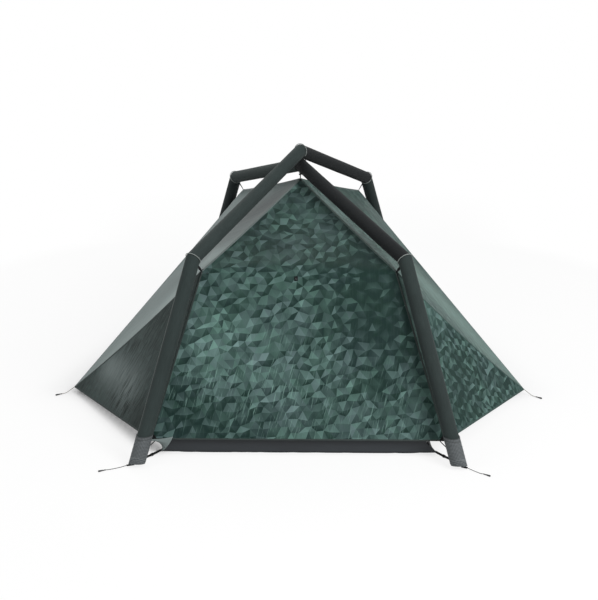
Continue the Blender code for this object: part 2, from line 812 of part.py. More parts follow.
def reach_to_tube(start, run, across, width, axis_point, axis, radius):
    """How far a flat strap can run before any point of its end comes closer to a tube's line than radius."""
    far = (axis_point - start).length
    thick = run.cross(across).normalized()
    reach = 0
    while reach < far:
        for part in (-1, 0, 1):
            for layer in (-1, 1):
                corner = start + run * reach + across * part * width / 2 + thick * layer * STRAP_THICKNESS / 2
                offset = corner - axis_point
                if (offset - axis * offset.dot(axis)).length < radius:
                    return reach
        reach += STRAP_STEP
    return far


def build_shoulder_strap(name, arch, joint, corner):
    """A strap from the fly's corner up to the tube at its elbow."""
    shoulder = arch.joints[joint]
    run = (shoulder - corner).normalized()
    forward = Vector((0, 1, 0))
    across = run.cross(forward).normalized()
    reaches = []
    for segment in (joint - 1, joint):
        reaches.append(
            reach_to_tube(corner, run, across, STRAP_WIDTH, shoulder, arch.along(segment), TUBE_RADIUS)
        )
    start = corner + run * STRAP_CORNER_GAP
    strap(name, start, corner + run * (min(reaches) - STRAP_END_GAP), STRAP_WIDTH, forward)


def build_straps():
    build_shoulder_strap("front_left_shoulder_strap", UPPER, 1, mirrored(FRONT_CORNER, -1))
    build_shoulder_strap("front_right_shoulder_strap", LOWER, 1, FRONT_CORNER)
    build_shoulder_strap("rear_left_shoulder_strap", LOWER, 3, mirrored(REAR_CORNER, -1))
    build_shoulder_strap("rear_right_shoulder_strap", UPPER, 3, REAR_CORNER)
    tube = TUBE_RADIUS / math.cos(LOWER.half_turn(2))
    top = LOWER.joints[2] - Vector((0, 0, tube + 2 * PIPING_RADIUS + 2 * FIT_GAP))
    low = PEAK + Vector((0, 0, FLY_THICKNESS))
    strap("peak_strap", top, low, PEAK_STRAP_WIDTH, Vector((0, 1, 0)))


def build_pull_tab():
    """A webbing tab on the outside of the front sheet, lying flat just under its fold."""
    surface = end_surface(FRONT_HEM, FRONT_CORNER)
    across = (1 + PULL_TAB_OFFSET / FRONT_CORNER.x) / 2
    rows = fold_shares(FLY_ROWS, FRONT_FOLD_SHARE)
    below = max(row for row in rows if row < FRONT_FOLD_SHARE)
    low, high = (inset_point(surface, across, row, SEAM_INSET) for row in (below, FRONT_FOLD_SHARE))
    along = (high - low).normalized()
    outward = Vector((0, -along.z, along.y)).normalized()
    width, thickness, length = PULL_TAB_SIZE
    centre = high - along * PULL_TAB_DROP + outward * ((FLY_THICKNESS + thickness) / 2 + FIT_GAP)
    mesh = box_mesh("front_pull_tab", (thickness, width, length), frame_along(centre, along, outward))
    add_object("front_pull_tab", mesh, "webbing")


# Inner tent


def tub_corner(hem, top):
    """A corner of the tub's floor, or of its rim."""
    lean = TUB_LEAN if top else 0
    back = 1 if hem.y < 0 else -1
    height = TUB_WALL_HEIGHT if top else 0
    return Vector((hem.x - TUB_CORNER_INSET[0] - lean, hem.y + back * (TUB_CORNER_INSET[1] + lean), height))


def inner_top(corner):
    back = 1 if corner.y < 0 else -1
    across, along, drop = INNER_TOP_OFFSET
    return Vector((corner.x - across, corner.y + back * along, corner.z - drop))


def build_tub():
    shape = bmesh.new()
    bmesh.ops.create_cube(shape, size=1)
    for vert in shape.verts:
        hem = FRONT_HEM if vert.co.y < 0 else REAR_HEM
        corner = tub_corner(hem, vert.co.z > 0)
        vert.co = mirrored(corner, 1 if vert.co.x > 0 else -1)
    top = [face for face in shape.faces if all(vert.co.z > TUB_WALL_HEIGHT / 2 for vert in face.verts)]
    bmesh.ops.delete(shape, geom=top, context="FACES_ONLY")
    mesh = mesh_from(shape, "floor_tub", smooth=False)
    tub = add_object("floor_tub", mesh, "tub")
    wall = tub.modifiers.new("wall", "SOLIDIFY")
    wall.thickness = TUB_THICKNESS
    wall.offset = -1
    wall.use_even_offset = True


def wall_corner(hem, corner, up):
    """A point of the inner tent's corner line, from the tub's rim to the top."""
    low = tub_corner(hem, True)
    low.z += INNER_SEAM_GAP
    return low.lerp(inner_top(corner), up)


def build_canopy():
    """The inner tent's front wall, ceiling and rear wall in one length."""
    lengths = [CANOPY_WALL_ROWS, CANOPY_TOP_ROWS, CANOPY_WALL_ROWS]
    bounds = (lengths[0] / sum(lengths), (lengths[0] + lengths[1]) / sum(lengths))
    front_top, rear_top = inner_top(FRONT_CORNER), inner_top(REAR_CORNER)

    def place(across, up):
        if up <= bounds[0]:
            right = wall_corner(FRONT_HEM, FRONT_CORNER, up / bounds[0])
            rise = 0
        elif up >= bounds[1]:
            right = wall_corner(REAR_HEM, REAR_CORNER, (1 - up) / (1 - bounds[1]))
            rise = 0
        else:
            share = (up - bounds[0]) / (bounds[1] - bounds[0])
            right = front_top.lerp(rear_top, share)
            rise = INNER_CROWN * math.sin(math.pi * share) * math.sin(math.pi * across)
        half = right.x - INNER_SEAM_GAP
        return Vector((half * (2 * across - 1), right.y, right.z + rise))

    shape = grid_shape(even_shares(CANOPY_COLUMNS), even_shares(sum(lengths)), place)
    solid_sheet("inner_canopy", shape, INNER_THICKNESS, "inner", Vector((0, 0, 1)))


def side_wall_point(side, along, up):
    front = wall_corner(FRONT_HEM, FRONT_CORNER, up)
    rear = wall_corner(REAR_HEM, REAR_CORNER, up)
    return mirrored(front.lerp(rear, along), side)


def split_shares(opening, steps):
    """Shares along a wall, even before, across and after its opening."""
    stops = (0.0, *opening, 1.0)
    shares = [0.0]
    for start, end, count in zip(stops, stops[1:], steps):
        shares += [start + (end - start) * (k + 1) / count for k in range(count)]
    return shares


def build_inner_sides():
    stations = split_shares(DOORWAY_ALONG_SHARES, DOORWAY_ALONG_STEPS)
    levels = split_shares(DOORWAY_UP_SHARES, DOORWAY_UP_STEPS)
    first, last = DOORWAY_ALONG_SHARES
    sill, head = DOORWAY_UP_SHARES
    for name, side in (("left", -1), ("right", 1)):

        def whole(along, up, side=side):
            return side_wall_point(side, along, up)

        def wall(along, up, whole=whole):
            return inset_point(whole, along, up, INNER_SEAM_GAP)

        shape = grid_shape(stations, levels, wall)
        low, high = wall(first, sill), wall(last, head)
        doomed = []
        for face in shape.faces:
            middle = face.calc_center_median()
            if low.y < middle.y < high.y and low.z < middle.z < high.z:
                doomed.append(face)
        bmesh.ops.delete(shape, geom=doomed, context="FACES")
        solid_sheet(f"inner_side_{name}", shape, INNER_THICKNESS, "inner", Vector((side, 0, 0)))

        def door(along, up, wall=wall):
            return wall(first + along * (last - first), sill + up * (head - sill))

        columns, rows = DOORWAY_ALONG_STEPS[1], DOORWAY_UP_STEPS[1]
        panel = grid_shape(
            even_shares(columns), even_shares(rows), lambda a, b: inset_point(door, a, b, DOOR_GAP)
        )
        made = solid_sheet(f"inner_door_{name}", panel, INNER_THICKNESS, "inner", Vector((side, 0, 0)))
        hinge = door(0, 0)
        made.data.transform(Matrix.Translation(-hinge))
        made.location = hinge


def build_floor_straps():
    """A strap from each corner of the tub to the boot beside it."""
    for name, hem, foot in (("front", FRONT_HEM, FRONT_FOOT), ("rear", REAR_HEM, REAR_FOOT)):
        neighbour = FRONT_SHOULDER if name == "front" else REAR_SHOULDER
        leg = (neighbour - foot).normalized()
        for place, side in (("left", -1), ("right", 1)):
            share = FLOOR_STRAP_HEIGHT / TUB_WALL_HEIGHT
            start = mirrored(tub_corner(hem, False).lerp(tub_corner(hem, True), share), side)
            on_leg = foot + leg * FLOOR_STRAP_HEIGHT
            end = mirrored(on_leg, side)
            run = (end - start).normalized()
            across = run.cross(Vector((0, 0, 1))).normalized()
            line = mirrored(leg, side)
            reach = reach_to_tube(start, run, across, FLOOR_STRAP_WIDTH, end, line, BOOT_OUTER) - STRAP_END_GAP
            tip = start + run * STRAP_CORNER_GAP
            strap(f"{name}_{place}_floor_strap", tip, start + run * reach, FLOOR_STRAP_WIDTH, Vector((0, 0, 1)))


# Guys


def build_guy(name, route):
    points = smooth_route(route, CORD_POINTS_PER_SPAN)
    curve_object(f"{name}_guy", points, CORD_RADIUS, "cord", resolution=2)
    run = (points[-1] - points[-2]).normalized()
    level = Vector((run.x, run.y, 0)).normalized()
    start = points[-1] + level * STRAP_END_GAP
    hook = bmesh.new()
    bmesh.ops.create_cone(
        hook,
        cap_ends=True,
        segments=HOOK_SIDES,
        radius1=HOOK_TIP_RADIUS,
        radius2=HOOK_RADIUS,
        depth=HOOK_LENGTH,
        matrix=frame_along(start + level * HOOK_LENGTH / 2, level, Vector((0, 0, 1))),
    )
    add_object(f"{name}_guy_hook", mesh_from(hook, f"{name}_guy_hook"), "plastic")


def main():
    build_sleeves("upper_arch", UPPER)
    build_sleeves("lower_arch", LOWER)
    upper_bladder = build_bladder("upper_arch", UPPER, True)
    build_bladder("lower_arch", LOWER, False)
    for name, arch, bare in (("upper_arch", UPPER, -1), ("lower_arch", LOWER, 1)):
        build_piping(f"{name}_front_shoulder_piping", arch, 1, 0)
        build_piping(f"{name}_crossing_piping", arch, 2, bare)
        build_piping(f"{name}_rear_shoulder_piping", arch, 3, 0)
    ground = ground_cutter()
    build_boot("front_left", UPPER, 0, ground)
    build_boot("rear_right", UPPER, 4, ground)
    build_boot("front_right", LOWER, 0, ground)
    build_boot("rear_left", LOWER, 4, ground)
    build_valve(bpy.data.objects["upper_arch_rear_leg_sleeve"], upper_bladder)
    build_fly_front()
    build_fly_rear()
    build_fly_sides()
    build_slider("left", -1)
    build_slider("right", 1)
    build_straps()
    build_pull_tab()
    build_tub()
    build_canopy()
    build_inner_sides()
    build_floor_straps()
    for place, route in FOOT_GUYS.items():
        build_guy(place, route)
    for place, route in SIDE_GUYS.items():
        build_guy(f"{place}_side", route)


main()
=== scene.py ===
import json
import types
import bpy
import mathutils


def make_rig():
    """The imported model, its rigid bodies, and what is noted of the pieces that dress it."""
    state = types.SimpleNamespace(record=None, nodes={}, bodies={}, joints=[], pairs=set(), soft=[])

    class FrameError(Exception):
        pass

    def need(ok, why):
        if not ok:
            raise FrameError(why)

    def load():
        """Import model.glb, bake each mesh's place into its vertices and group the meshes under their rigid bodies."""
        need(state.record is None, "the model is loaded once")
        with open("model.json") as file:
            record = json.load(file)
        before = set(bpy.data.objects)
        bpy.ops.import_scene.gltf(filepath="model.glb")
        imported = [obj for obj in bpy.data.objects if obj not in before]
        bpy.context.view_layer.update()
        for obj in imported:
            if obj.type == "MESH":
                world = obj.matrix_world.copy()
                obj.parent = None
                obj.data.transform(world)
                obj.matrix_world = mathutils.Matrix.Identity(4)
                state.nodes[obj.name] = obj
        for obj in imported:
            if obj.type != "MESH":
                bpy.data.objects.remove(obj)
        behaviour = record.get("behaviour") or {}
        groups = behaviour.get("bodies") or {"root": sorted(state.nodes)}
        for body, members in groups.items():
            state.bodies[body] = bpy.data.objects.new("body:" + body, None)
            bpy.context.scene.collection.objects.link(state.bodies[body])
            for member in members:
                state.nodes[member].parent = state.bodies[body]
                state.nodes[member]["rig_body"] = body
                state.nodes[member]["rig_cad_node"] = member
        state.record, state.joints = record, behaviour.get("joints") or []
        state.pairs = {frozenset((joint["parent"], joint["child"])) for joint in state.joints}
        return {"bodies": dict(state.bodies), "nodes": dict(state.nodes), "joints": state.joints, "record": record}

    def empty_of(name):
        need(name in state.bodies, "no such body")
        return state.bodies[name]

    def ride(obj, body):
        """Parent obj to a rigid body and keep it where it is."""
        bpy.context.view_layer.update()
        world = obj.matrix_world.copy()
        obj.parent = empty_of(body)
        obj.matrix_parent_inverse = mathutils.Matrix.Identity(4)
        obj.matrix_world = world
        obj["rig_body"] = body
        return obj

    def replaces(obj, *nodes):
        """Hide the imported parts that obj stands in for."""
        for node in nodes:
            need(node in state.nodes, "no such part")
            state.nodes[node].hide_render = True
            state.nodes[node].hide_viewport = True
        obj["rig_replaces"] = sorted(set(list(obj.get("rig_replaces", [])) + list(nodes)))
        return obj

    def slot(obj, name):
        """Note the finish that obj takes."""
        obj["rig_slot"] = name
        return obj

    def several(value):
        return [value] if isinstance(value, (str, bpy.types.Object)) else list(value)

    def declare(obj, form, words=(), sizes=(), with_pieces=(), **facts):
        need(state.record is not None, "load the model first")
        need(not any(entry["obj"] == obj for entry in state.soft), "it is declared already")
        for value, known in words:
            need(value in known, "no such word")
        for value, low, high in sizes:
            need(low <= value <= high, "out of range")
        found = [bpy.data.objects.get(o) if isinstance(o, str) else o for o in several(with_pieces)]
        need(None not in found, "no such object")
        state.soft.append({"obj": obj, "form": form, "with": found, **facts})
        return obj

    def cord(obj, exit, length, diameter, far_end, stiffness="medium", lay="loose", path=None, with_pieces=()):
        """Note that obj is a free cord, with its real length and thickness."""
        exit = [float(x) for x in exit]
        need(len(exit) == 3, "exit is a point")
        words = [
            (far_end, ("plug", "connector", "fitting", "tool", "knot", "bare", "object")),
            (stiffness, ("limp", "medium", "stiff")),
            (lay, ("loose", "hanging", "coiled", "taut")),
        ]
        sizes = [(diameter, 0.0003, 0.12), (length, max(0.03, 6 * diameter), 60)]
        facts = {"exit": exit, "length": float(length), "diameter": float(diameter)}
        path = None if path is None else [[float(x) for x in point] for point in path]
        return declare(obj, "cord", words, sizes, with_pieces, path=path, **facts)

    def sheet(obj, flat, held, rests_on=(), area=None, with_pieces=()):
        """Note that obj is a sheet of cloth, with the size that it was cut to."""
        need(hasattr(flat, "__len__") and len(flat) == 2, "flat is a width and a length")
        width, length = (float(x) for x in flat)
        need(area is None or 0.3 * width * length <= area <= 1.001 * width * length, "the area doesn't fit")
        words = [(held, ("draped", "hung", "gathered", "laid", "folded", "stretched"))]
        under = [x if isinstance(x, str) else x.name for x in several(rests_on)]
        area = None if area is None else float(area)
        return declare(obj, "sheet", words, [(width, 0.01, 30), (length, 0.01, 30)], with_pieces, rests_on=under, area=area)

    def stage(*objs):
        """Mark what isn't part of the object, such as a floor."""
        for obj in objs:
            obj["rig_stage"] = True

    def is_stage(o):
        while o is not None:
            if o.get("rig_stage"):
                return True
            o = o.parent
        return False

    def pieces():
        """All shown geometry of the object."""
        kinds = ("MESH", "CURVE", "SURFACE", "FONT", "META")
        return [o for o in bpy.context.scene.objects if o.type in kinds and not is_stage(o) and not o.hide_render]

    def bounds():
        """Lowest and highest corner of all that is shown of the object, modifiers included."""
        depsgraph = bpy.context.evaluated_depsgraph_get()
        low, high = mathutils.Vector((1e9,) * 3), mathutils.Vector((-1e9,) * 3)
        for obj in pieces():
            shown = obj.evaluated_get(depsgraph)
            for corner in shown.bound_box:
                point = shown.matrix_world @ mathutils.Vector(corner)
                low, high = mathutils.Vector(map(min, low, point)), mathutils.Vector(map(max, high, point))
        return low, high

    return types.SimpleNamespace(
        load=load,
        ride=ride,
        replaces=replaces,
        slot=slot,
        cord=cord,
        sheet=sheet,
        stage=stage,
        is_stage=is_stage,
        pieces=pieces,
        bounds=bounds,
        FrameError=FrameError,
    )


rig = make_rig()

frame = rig.load()

import json
import math
import random

import bmesh
import bpy
import numpy as np
from mathutils import Matrix, Vector, geometry, noise
from mathutils.bvhtree import BVHTree

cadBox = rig.bounds()
wholeTurn = 2 * math.pi
upwards = Vector((0, 0, 1))
bothSides = (("Left", -1), ("Right", 1))


def say(stage):
    print("tent:", stage)


class Graph:
    def __init__(self, tree):
        self.nodes, self.links = tree.nodes, tree.links

    def add(self, kind, settings=None, inputs=(), output=0):
        node = self.nodes.new(kind)
        for key, value in (settings or {}).items():
            setattr(node, key, value)
        for key, value in inputs.items() if isinstance(inputs, dict) else enumerate(inputs):
            if isinstance(value, Wire):
                self.links.new(value.socket, node.inputs[key])
            else:
                node.inputs[key].default_value = value
        return Wire(self, node.outputs[output])


def operator(how):
    # an operator and its reflected form
    def plain(self, other):
        return self.graph.add("ShaderNodeMath", {"operation": how}, [self, other])

    def reflected(self, other):
        return self.graph.add("ShaderNodeMath", {"operation": how}, [other, self])

    return plain, reflected


class Wire:
    __add__, __radd__ = operator("ADD")
    __sub__, __rsub__ = operator("SUBTRACT")
    __mul__, __rmul__ = operator("MULTIPLY")
    __truediv__, __rtruediv__ = operator("DIVIDE")
    __pow__, __rpow__ = operator("POWER")

    def __init__(self, graph, socket):
        self.graph, self.socket = graph, socket

    def combine(self, how, *others):
        return self.graph.add("ShaderNodeMath", {"operation": how}, [self, *others])

    def clamped(self):
        return self.graph.add("ShaderNodeClamp", {}, [self])


class Finish(Graph):
    def __init__(self, name, roughness, **fixed):
        self.material = bpy.data.materials.new(name)
        self.material.use_nodes = True
        super().__init__(self.material.node_tree)
        self.shader = self.nodes["Principled BSDF"]
        for socket, value in {"Roughness": roughness, **fixed}.items():
            self.shader.inputs[socket.replace("_", " ")].default_value = value

    def feed(self, socket, value):
        self.links.new(value.socket, self.shader.inputs[socket])

    def place(self):
        return self.add("ShaderNodeTexCoord", output="Object")

    def flat(self):
        return self.add("ShaderNodeUVMap", {"uv_map": "flat"})

    def stretched(self, vector, scale, turn=0.0):
        return self.add("ShaderNodeMapping", {}, {"Vector": vector, "Scale": scale, "Rotation": (0, 0, turn)})

    def noise(self, vector, scale, detail=2.0, roughness=0.5):
        inputs = {"Vector": vector, "Scale": scale, "Detail": detail, "Roughness": roughness}
        return self.add("ShaderNodeTexNoise", {}, inputs)

    def wave(self, scale, distortion=0.0):
        inputs = {"Vector": self.place(), "Scale": scale, "Distortion": distortion}
        return self.add("ShaderNodeTexWave", {"wave_type": "BANDS", "bands_direction": "DIAGONAL"}, inputs)

    def attribute(self, name):
        return self.add("ShaderNodeAttribute", {"attribute_name": name}, output="Fac")

    def mix(self, low, high, factor):
        settings = {"data_type": "RGBA", "blend_type": "MIX"}
        return self.add("ShaderNodeMix", settings, {0: factor, 6: low, 7: high}, 2)

    def bump(self, height, strength, distance):
        inputs = {"Strength": strength, "Distance": distance, "Height": height}
        self.feed("Normal", self.add("ShaderNodeBump", {}, inputs))

    def weave(self, coords, threadsPerMetre):
        # two crossing sets of threads
        split = self.add("ShaderNodeSeparateXYZ", {}, [coords]).socket.node.outputs
        across, along = (Wire(self, split[k]) * (threadsPerMetre * wholeTurn) for k in (0, 1))
        return across.combine("SINE") * 0.5 + along.combine("SINE") * 0.5


def rgb(*colour):
    return tuple(((c / 255 + 0.055) / 1.055) ** 2.4 if c > 10 else c / 255 / 12.92 for c in colour) + (1,)


# finishes


def sleeveCloth():
    f = Finish("sleeveCloth", 0.78, Specular_IOR_Level=0.14, Sheen_Weight=0.05, Sheen_Roughness=0.45)
    uv = f.flat()
    streak = f.noise(f.stretched(uv, (420.0, 18.0, 1.0)), 1.0, 3.0)
    cloud = f.noise(f.place(), 9.0)
    colour = f.mix(rgb(28, 35, 34), rgb(58, 68, 67), (streak * 0.55 + cloud * 0.45).clamped())
    # painted shade: lengths that lie in shade are darkened
    colour = f.mix(colour, rgb(15, 17, 19), f.attribute("dye"))
    # painted highlight: the light line in the seam attribute stands for a sheen rim at the leg's edge
    f.feed("Base Color", f.mix(colour, rgb(128, 134, 132), f.attribute("seam")))
    f.feed("Roughness", 0.72 + cloud * 0.14)
    f.bump(f.weave(uv, 900) * 0.3 + streak, 0.35, 0.0008)
    return f.material


def bootCloth():
    f = Finish("bootCloth", 0.72, Specular_IOR_Level=0.3)
    threads = f.weave(f.flat(), 150)
    speck = f.noise(f.place(), 420.0, 2.0, 0.7)
    tone = speck * 0.5 + f.noise(f.place(), 16.0) * 0.2 + threads * 0.5
    colour = f.mix(rgb(50, 54, 56), rgb(118, 123, 125), tone.clamped())
    f.feed("Base Color", f.mix(colour, rgb(30, 33, 34), f.attribute("seam")))
    f.feed("Roughness", 0.62 + speck * 0.2)
    f.bump(threads + speck, 0.5, 0.0008)
    return f.material


def tubCloth():
    f = Finish("tubCloth", 0.55, Specular_IOR_Level=0.4)
    cloud = f.noise(f.stretched(f.place(), (5.0, 5.0, 30.0)), 1.0, 3.0)
    grain = f.noise(f.place(), 800.0)
    f.feed("Base Color", f.mix(rgb(22, 26, 30), rgb(42, 47, 51), (cloud * 0.8 + grain * 0.2).clamped()))
    f.feed("Roughness", 0.48 + cloud * 0.16)
    f.bump(cloud * 0.8 + grain * 0.1, 0.25, 0.002)
    return f.material


def webbing():
    f = Finish("blackWebbing", 0.8, Specular_IOR_Level=0.15)
    ribs = f.wave(380.0)
    tone = f.noise(f.place(), 700.0, 1.0) * 0.6 + ribs * 0.4
    f.feed("Base Color", f.mix(rgb(4, 6, 6), rgb(22, 25, 25), tone.clamped()))
    f.bump(ribs, 0.5, 0.0006)
    return f.material


def plainCloth(name, low, high):
    f = Finish(name, 0.85)
    cloud = f.noise(f.place(), 4.0, 3.0)
    grid = f.weave(f.place(), 400)
    f.feed("Base Color", f.mix(low, high, (cloud + grid * 0.08).clamped()))
    f.bump(grid + cloud, 0.2, 0.0006)
    return f.material


def braidedCord(name, low, high):
    f = Finish(name, 0.8)
    braid = f.wave(260.0, 1.5)
    f.feed("Base Color", f.mix(low, high, braid))
    f.bump(braid, 0.5, 0.0004)
    return f.material


def grained(name, low, high, scale, roughness, bump=None, spread=0.0, detail=2.0, fine=None, **fixed):
    # one noise gives the tone, the spread of the roughness and the bump, unless a finer one is named
    f = Finish(name, roughness, **fixed)
    grain = f.noise(f.place(), scale, detail)
    f.feed("Base Color", f.mix(low, high, grain))
    if spread:
        f.feed("Roughness", roughness + grain * spread)
    if bump:
        f.bump(f.noise(f.place(), fine) if fine else grain, *bump)
    return f.material


# how each fly panel looks, the panels being lit and shaded copies of one cloth: the print's contrast, level and facets
# (x share, y share, fold and stretch over it), the share of plain colour (a painted sheen that washes out the print),
# the streaks, the colours (plain sheen, painted light, painted shade, streak lines) and the level above which the
# streak lines show
flyLook = {
    "front": {
        "facets": (1, 1, 0.80, 1.6),
        "colours": ((70, 90, 87), (122, 146, 142), (24, 38, 36), (112, 144, 136)),
        "threads": 0.57,
    },
    "rear": {"colours": ((70, 90, 87), (122, 146, 142), (24, 38, 36), (112, 144, 136)), "threads": 0.57},
    "roofLeft": {
        "contrast": 0.75,
        "level": 0.1,
        "plain": 0.86,
        "streaks": 0.34,
        "colours": ((108, 120, 119), (138, 152, 150), (46, 54, 54), (70, 79, 79)),
    },
    "roofRight": {
        "contrast": 0.95,
        "level": -0.03,
        "plain": 0.16,
        "colours": ((64, 98, 90), (112, 138, 131), (30, 50, 45), (30, 50, 45)),
    },
    "sideLeft": {
        "contrast": 0.6,
        "level": -0.02,
        "facets": (0.62, 0.95, 0, 1),
        "plain": 0.80,
        "colours": ((50, 60, 59), (114, 125, 124), (17, 29, 26), (15, 27, 24)),
        "threads": 0.48,
    },
    "sideRight": {
        "contrast": 1.15,
        "level": -0.10,
        "facets": (0.62, 1.0, 0, 1),
        "plain": 0.05,
        "colours": ((40, 84, 74), (100, 132, 125), (22, 44, 40), (22, 44, 40)),
    },
    "doorLeft": {
        "contrast": 0.8,
        "plain": 0.55,
        "colours": ((84, 96, 96), (112, 130, 127), (30, 44, 42), (30, 50, 45)),
    },
    "doorRight": {
        "contrast": 0.9,
        "plain": 0.1,
        "colours": ((70, 90, 87), (112, 130, 127), (30, 44, 42), (30, 50, 45)),
    },
}
usualLook = {"contrast": 1, "level": 0, "facets": (1, 1, 0, 1), "plain": 0, "streaks": 0.16, "threads": 0.55}
for key, look in flyLook.items():
    flyLook[key] = {**usualLook, **look}


def flyCloth(key):
    look = flyLook[key]
    plain, bloom, shade, pulled = (rgb(*colour) for colour in look["colours"])
    name = "flyCloth" + key[0].upper() + key[1:]
    f = Finish(name, 0.6, Specular_IOR_Level=0.18, Sheen_Weight=0.03, Sheen_Roughness=0.4)
    uv = f.flat()
    tint = f.attribute("tint")
    deep = f.mix(rgb(8, 38, 31), rgb(10, 36, 34), tint)
    pale = f.mix(rgb(103, 139, 129), rgb(110, 134, 134), tint)
    tone = f.attribute("tone") + (f.attribute("crest") - 0.4) * 0.16
    colour = f.mix(deep, pale, ((tone - 0.2) * look["contrast"] + (0.2 + look["level"])).clamped())
    streak = f.noise(f.stretched(uv, (150.0, 7.0, 1.0)), 1.0, 3.0, 0.6)
    fine = f.noise(f.stretched(uv, (900.0, 60.0, 1.0)), 1.0)
    threads = f.noise(f.stretched(f.stretched(uv, (1, 1, 1), 0.26), (120.0, 8.0, 1.0)), 1.0, 3.0, 0.65)
    # over the print: the painted sheen (plain), the painted shade and the painted light, then the streak lines and the
    # darker seam edge
    lightened = f.attribute("bloom") * (0.45 + streak * 1.1) + (streak - 0.5) * look["streaks"]
    layers = (
        (plain, look["plain"]),
        (shade, (f.attribute("shade") + (streak - 0.5) * 0.18).clamped()),
        (bloom, lightened.clamped()),
        (pulled, ((threads - look["threads"]) * 9).clamped() * f.attribute("pulled")),
        (rgb(20, 28, 26), f.attribute("edge")),
    )
    for over, share in layers:
        colour = f.mix(colour, over, share)
    f.feed("Base Color", colour)
    f.feed("Roughness", 0.56 + fine * 0.12)
    f.bump(streak * 0.8 + fine * 0.15, 0.4, 0.0022)
    return f.material


finishes = {
    "sleeve": sleeveCloth(),
    "boot": bootCloth(),
    "webbing": webbing(),
    "tub": tubCloth(),
    "bladder": grained("bladderFilm", rgb(196, 196, 188), rgb(214, 214, 205), 14, 0.35, (0.1, 0.001)),
    "piping": grained("pipingCord", rgb(108, 115, 113), rgb(152, 158, 155), 900, 0.7, (0.4, 5e-4), detail=1),
    "darkPiping": grained("darkPiping", rgb(28, 33, 32), rgb(48, 54, 52), 900, 0.7, (0.4, 5e-4), detail=1),
    "binding": grained("flyBinding", rgb(14, 26, 24), rgb(30, 46, 43), 600, 0.6, (0.3, 0.0004)),
    "plastic": grained("blackPlastic", rgb(18, 19, 20), rgb(30, 31, 33), 500, 0.38, (0.1, 0.0003), 0.14),
    "zip": grained("zipMetal", rgb(70, 72, 74), rgb(104, 106, 108), 300, 0.3, spread=0.15, Metallic=1.0),
    "inner": plainCloth("innerCloth", rgb(120, 126, 124), rgb(150, 155, 152)),
    "gusset": plainCloth("gussetCloth", rgb(106, 118, 117), rgb(126, 137, 136)),
    "innerTape": plainCloth("innerTape", rgb(60, 64, 64), rgb(84, 88, 88)),
    # lit and shaded copies of one tape, with the painted light and shade of the panels they bind
    "tapeRoofLeft": plainCloth("tapeRoofLeft", rgb(94, 105, 104), rgb(112, 123, 121)),
    "tapeRoofRight": plainCloth("tapeRoofRight", rgb(74, 92, 88), rgb(94, 112, 108)),
    "tapeSideLeft": plainCloth("tapeSideLeft", rgb(44, 53, 52), rgb(58, 67, 66)),
    "tapeSideRight": plainCloth("tapeSideRight", rgb(40, 62, 57), rgb(60, 84, 79)),
    "thread": braidedCord("thread", rgb(24, 32, 30), rgb(44, 54, 51)),
    "footCord": braidedCord("footCord", rgb(5, 6, 6), rgb(20, 22, 21)),
    "sideCord": braidedCord("sideCord", rgb(128, 124, 116), rgb(172, 168, 160)),
}
inside = (rgb(122, 130, 128), rgb(148, 155, 152))
finishes["flyInside"] = grained("flyInside", *inside, 6, 0.6, (0.2, 0.0004), fine=500, Specular_IOR_Level=0.3)
for key in flyLook:
    finishes[key] = flyCloth(key)
say("finishes")


# camera, floor and light

view = {
    "place": (0.032, -6.3757, 2.5304),
    "pitchDown": 0.3271,
    "turn": 0.0053,
    "roll": 0.0037,
    "focalPixels": 1241.9,
    "frame": (598, 600),
    "centre": (299.5, 300.0),
    "sensor": 36,
    "farEnd": 100,
}
studio = {
    "sky": 0.48,
    "lamps": [
        {"place": (4.6, -5.2, 5.2), "aim": (0, 0, 0.4), "size": 3.6, "watts": 460},
        {"place": (-5.0, -3.4, 4.4), "aim": (0, 0, 0.4), "size": 4.0, "watts": 70},
        {"place": (-3.0, 4.6, 4.6), "aim": (0, 0, 0.6), "size": 4.0, "watts": 90},
    ],
    "floorColour": (0.95, 0.95, 0.95, 1),
    "floorBounce": (0.62, 0.62, 0.62, 1),
    "floorLevel": -0.0005,
    "fineReach": 2.4,
    "fineStep": 0.03,
    "farStops": [4, 8, 15, 30, 60],
    "glow": 0.84,
    "glowOval": (1.2, 1.3),
    "glowEnds": (1.1, 2.3),
    "shadowLines": [  # where the floor keeps more of the shadow: two ends, reach and share
        ((-1.135, -0.400), (-0.670, -1.100), 0.055, 0.70),
        ((-0.66, -1.13), (0.64, -1.13), 0.02, 0.2),
        ((1.2, -0.38), (0.66, 1.12), 0.12, 0.3),
        ((-1.2, -0.38), (-0.66, 1.12), 0.12, 0.3),
        ((-0.64, 1.15), (0.64, 1.15), 0.10, 0.3),
    ],
}


def linked(name, data):
    holder = bpy.data.objects.new(name, data)
    bpy.context.scene.collection.objects.link(holder)
    return holder


def setView():
    camera = bpy.data.cameras.new("camera")
    holder = linked("camera", camera)
    holder.location = view["place"]
    turn = Matrix.Rotation(view["turn"], 3, "Z") @ Matrix.Rotation(math.pi / 2 - view["pitchDown"], 3, "X")
    holder.rotation_euler = (turn @ Matrix.Rotation(view["roll"], 3, "Z")).to_euler()
    (width, height), (x, y) = view["frame"], view["centre"]
    longest = max(width, height)
    camera.sensor_fit = "AUTO"
    camera.sensor_width = view["sensor"]
    camera.lens = view["focalPixels"] / longest * view["sensor"]
    camera.shift_x = (width / 2 - x) / longest
    camera.shift_y = (y - height / 2) / longest
    camera.clip_end = view["farEnd"]
    bpy.context.scene.camera = holder


def seenRays(graph):
    # the rays from the camera, and those together with what a mirror or a clear thing passes on
    rays = graph.add("ShaderNodeLightPath").socket.node.outputs
    kinds = ("Camera", "Glossy", "Transmission")
    camera, mirror, clear = (Wire(graph, rays[f"Is {kind} Ray"]) for kind in kinds)
    return camera, camera.combine("MAXIMUM", mirror).combine("MAXIMUM", clear)


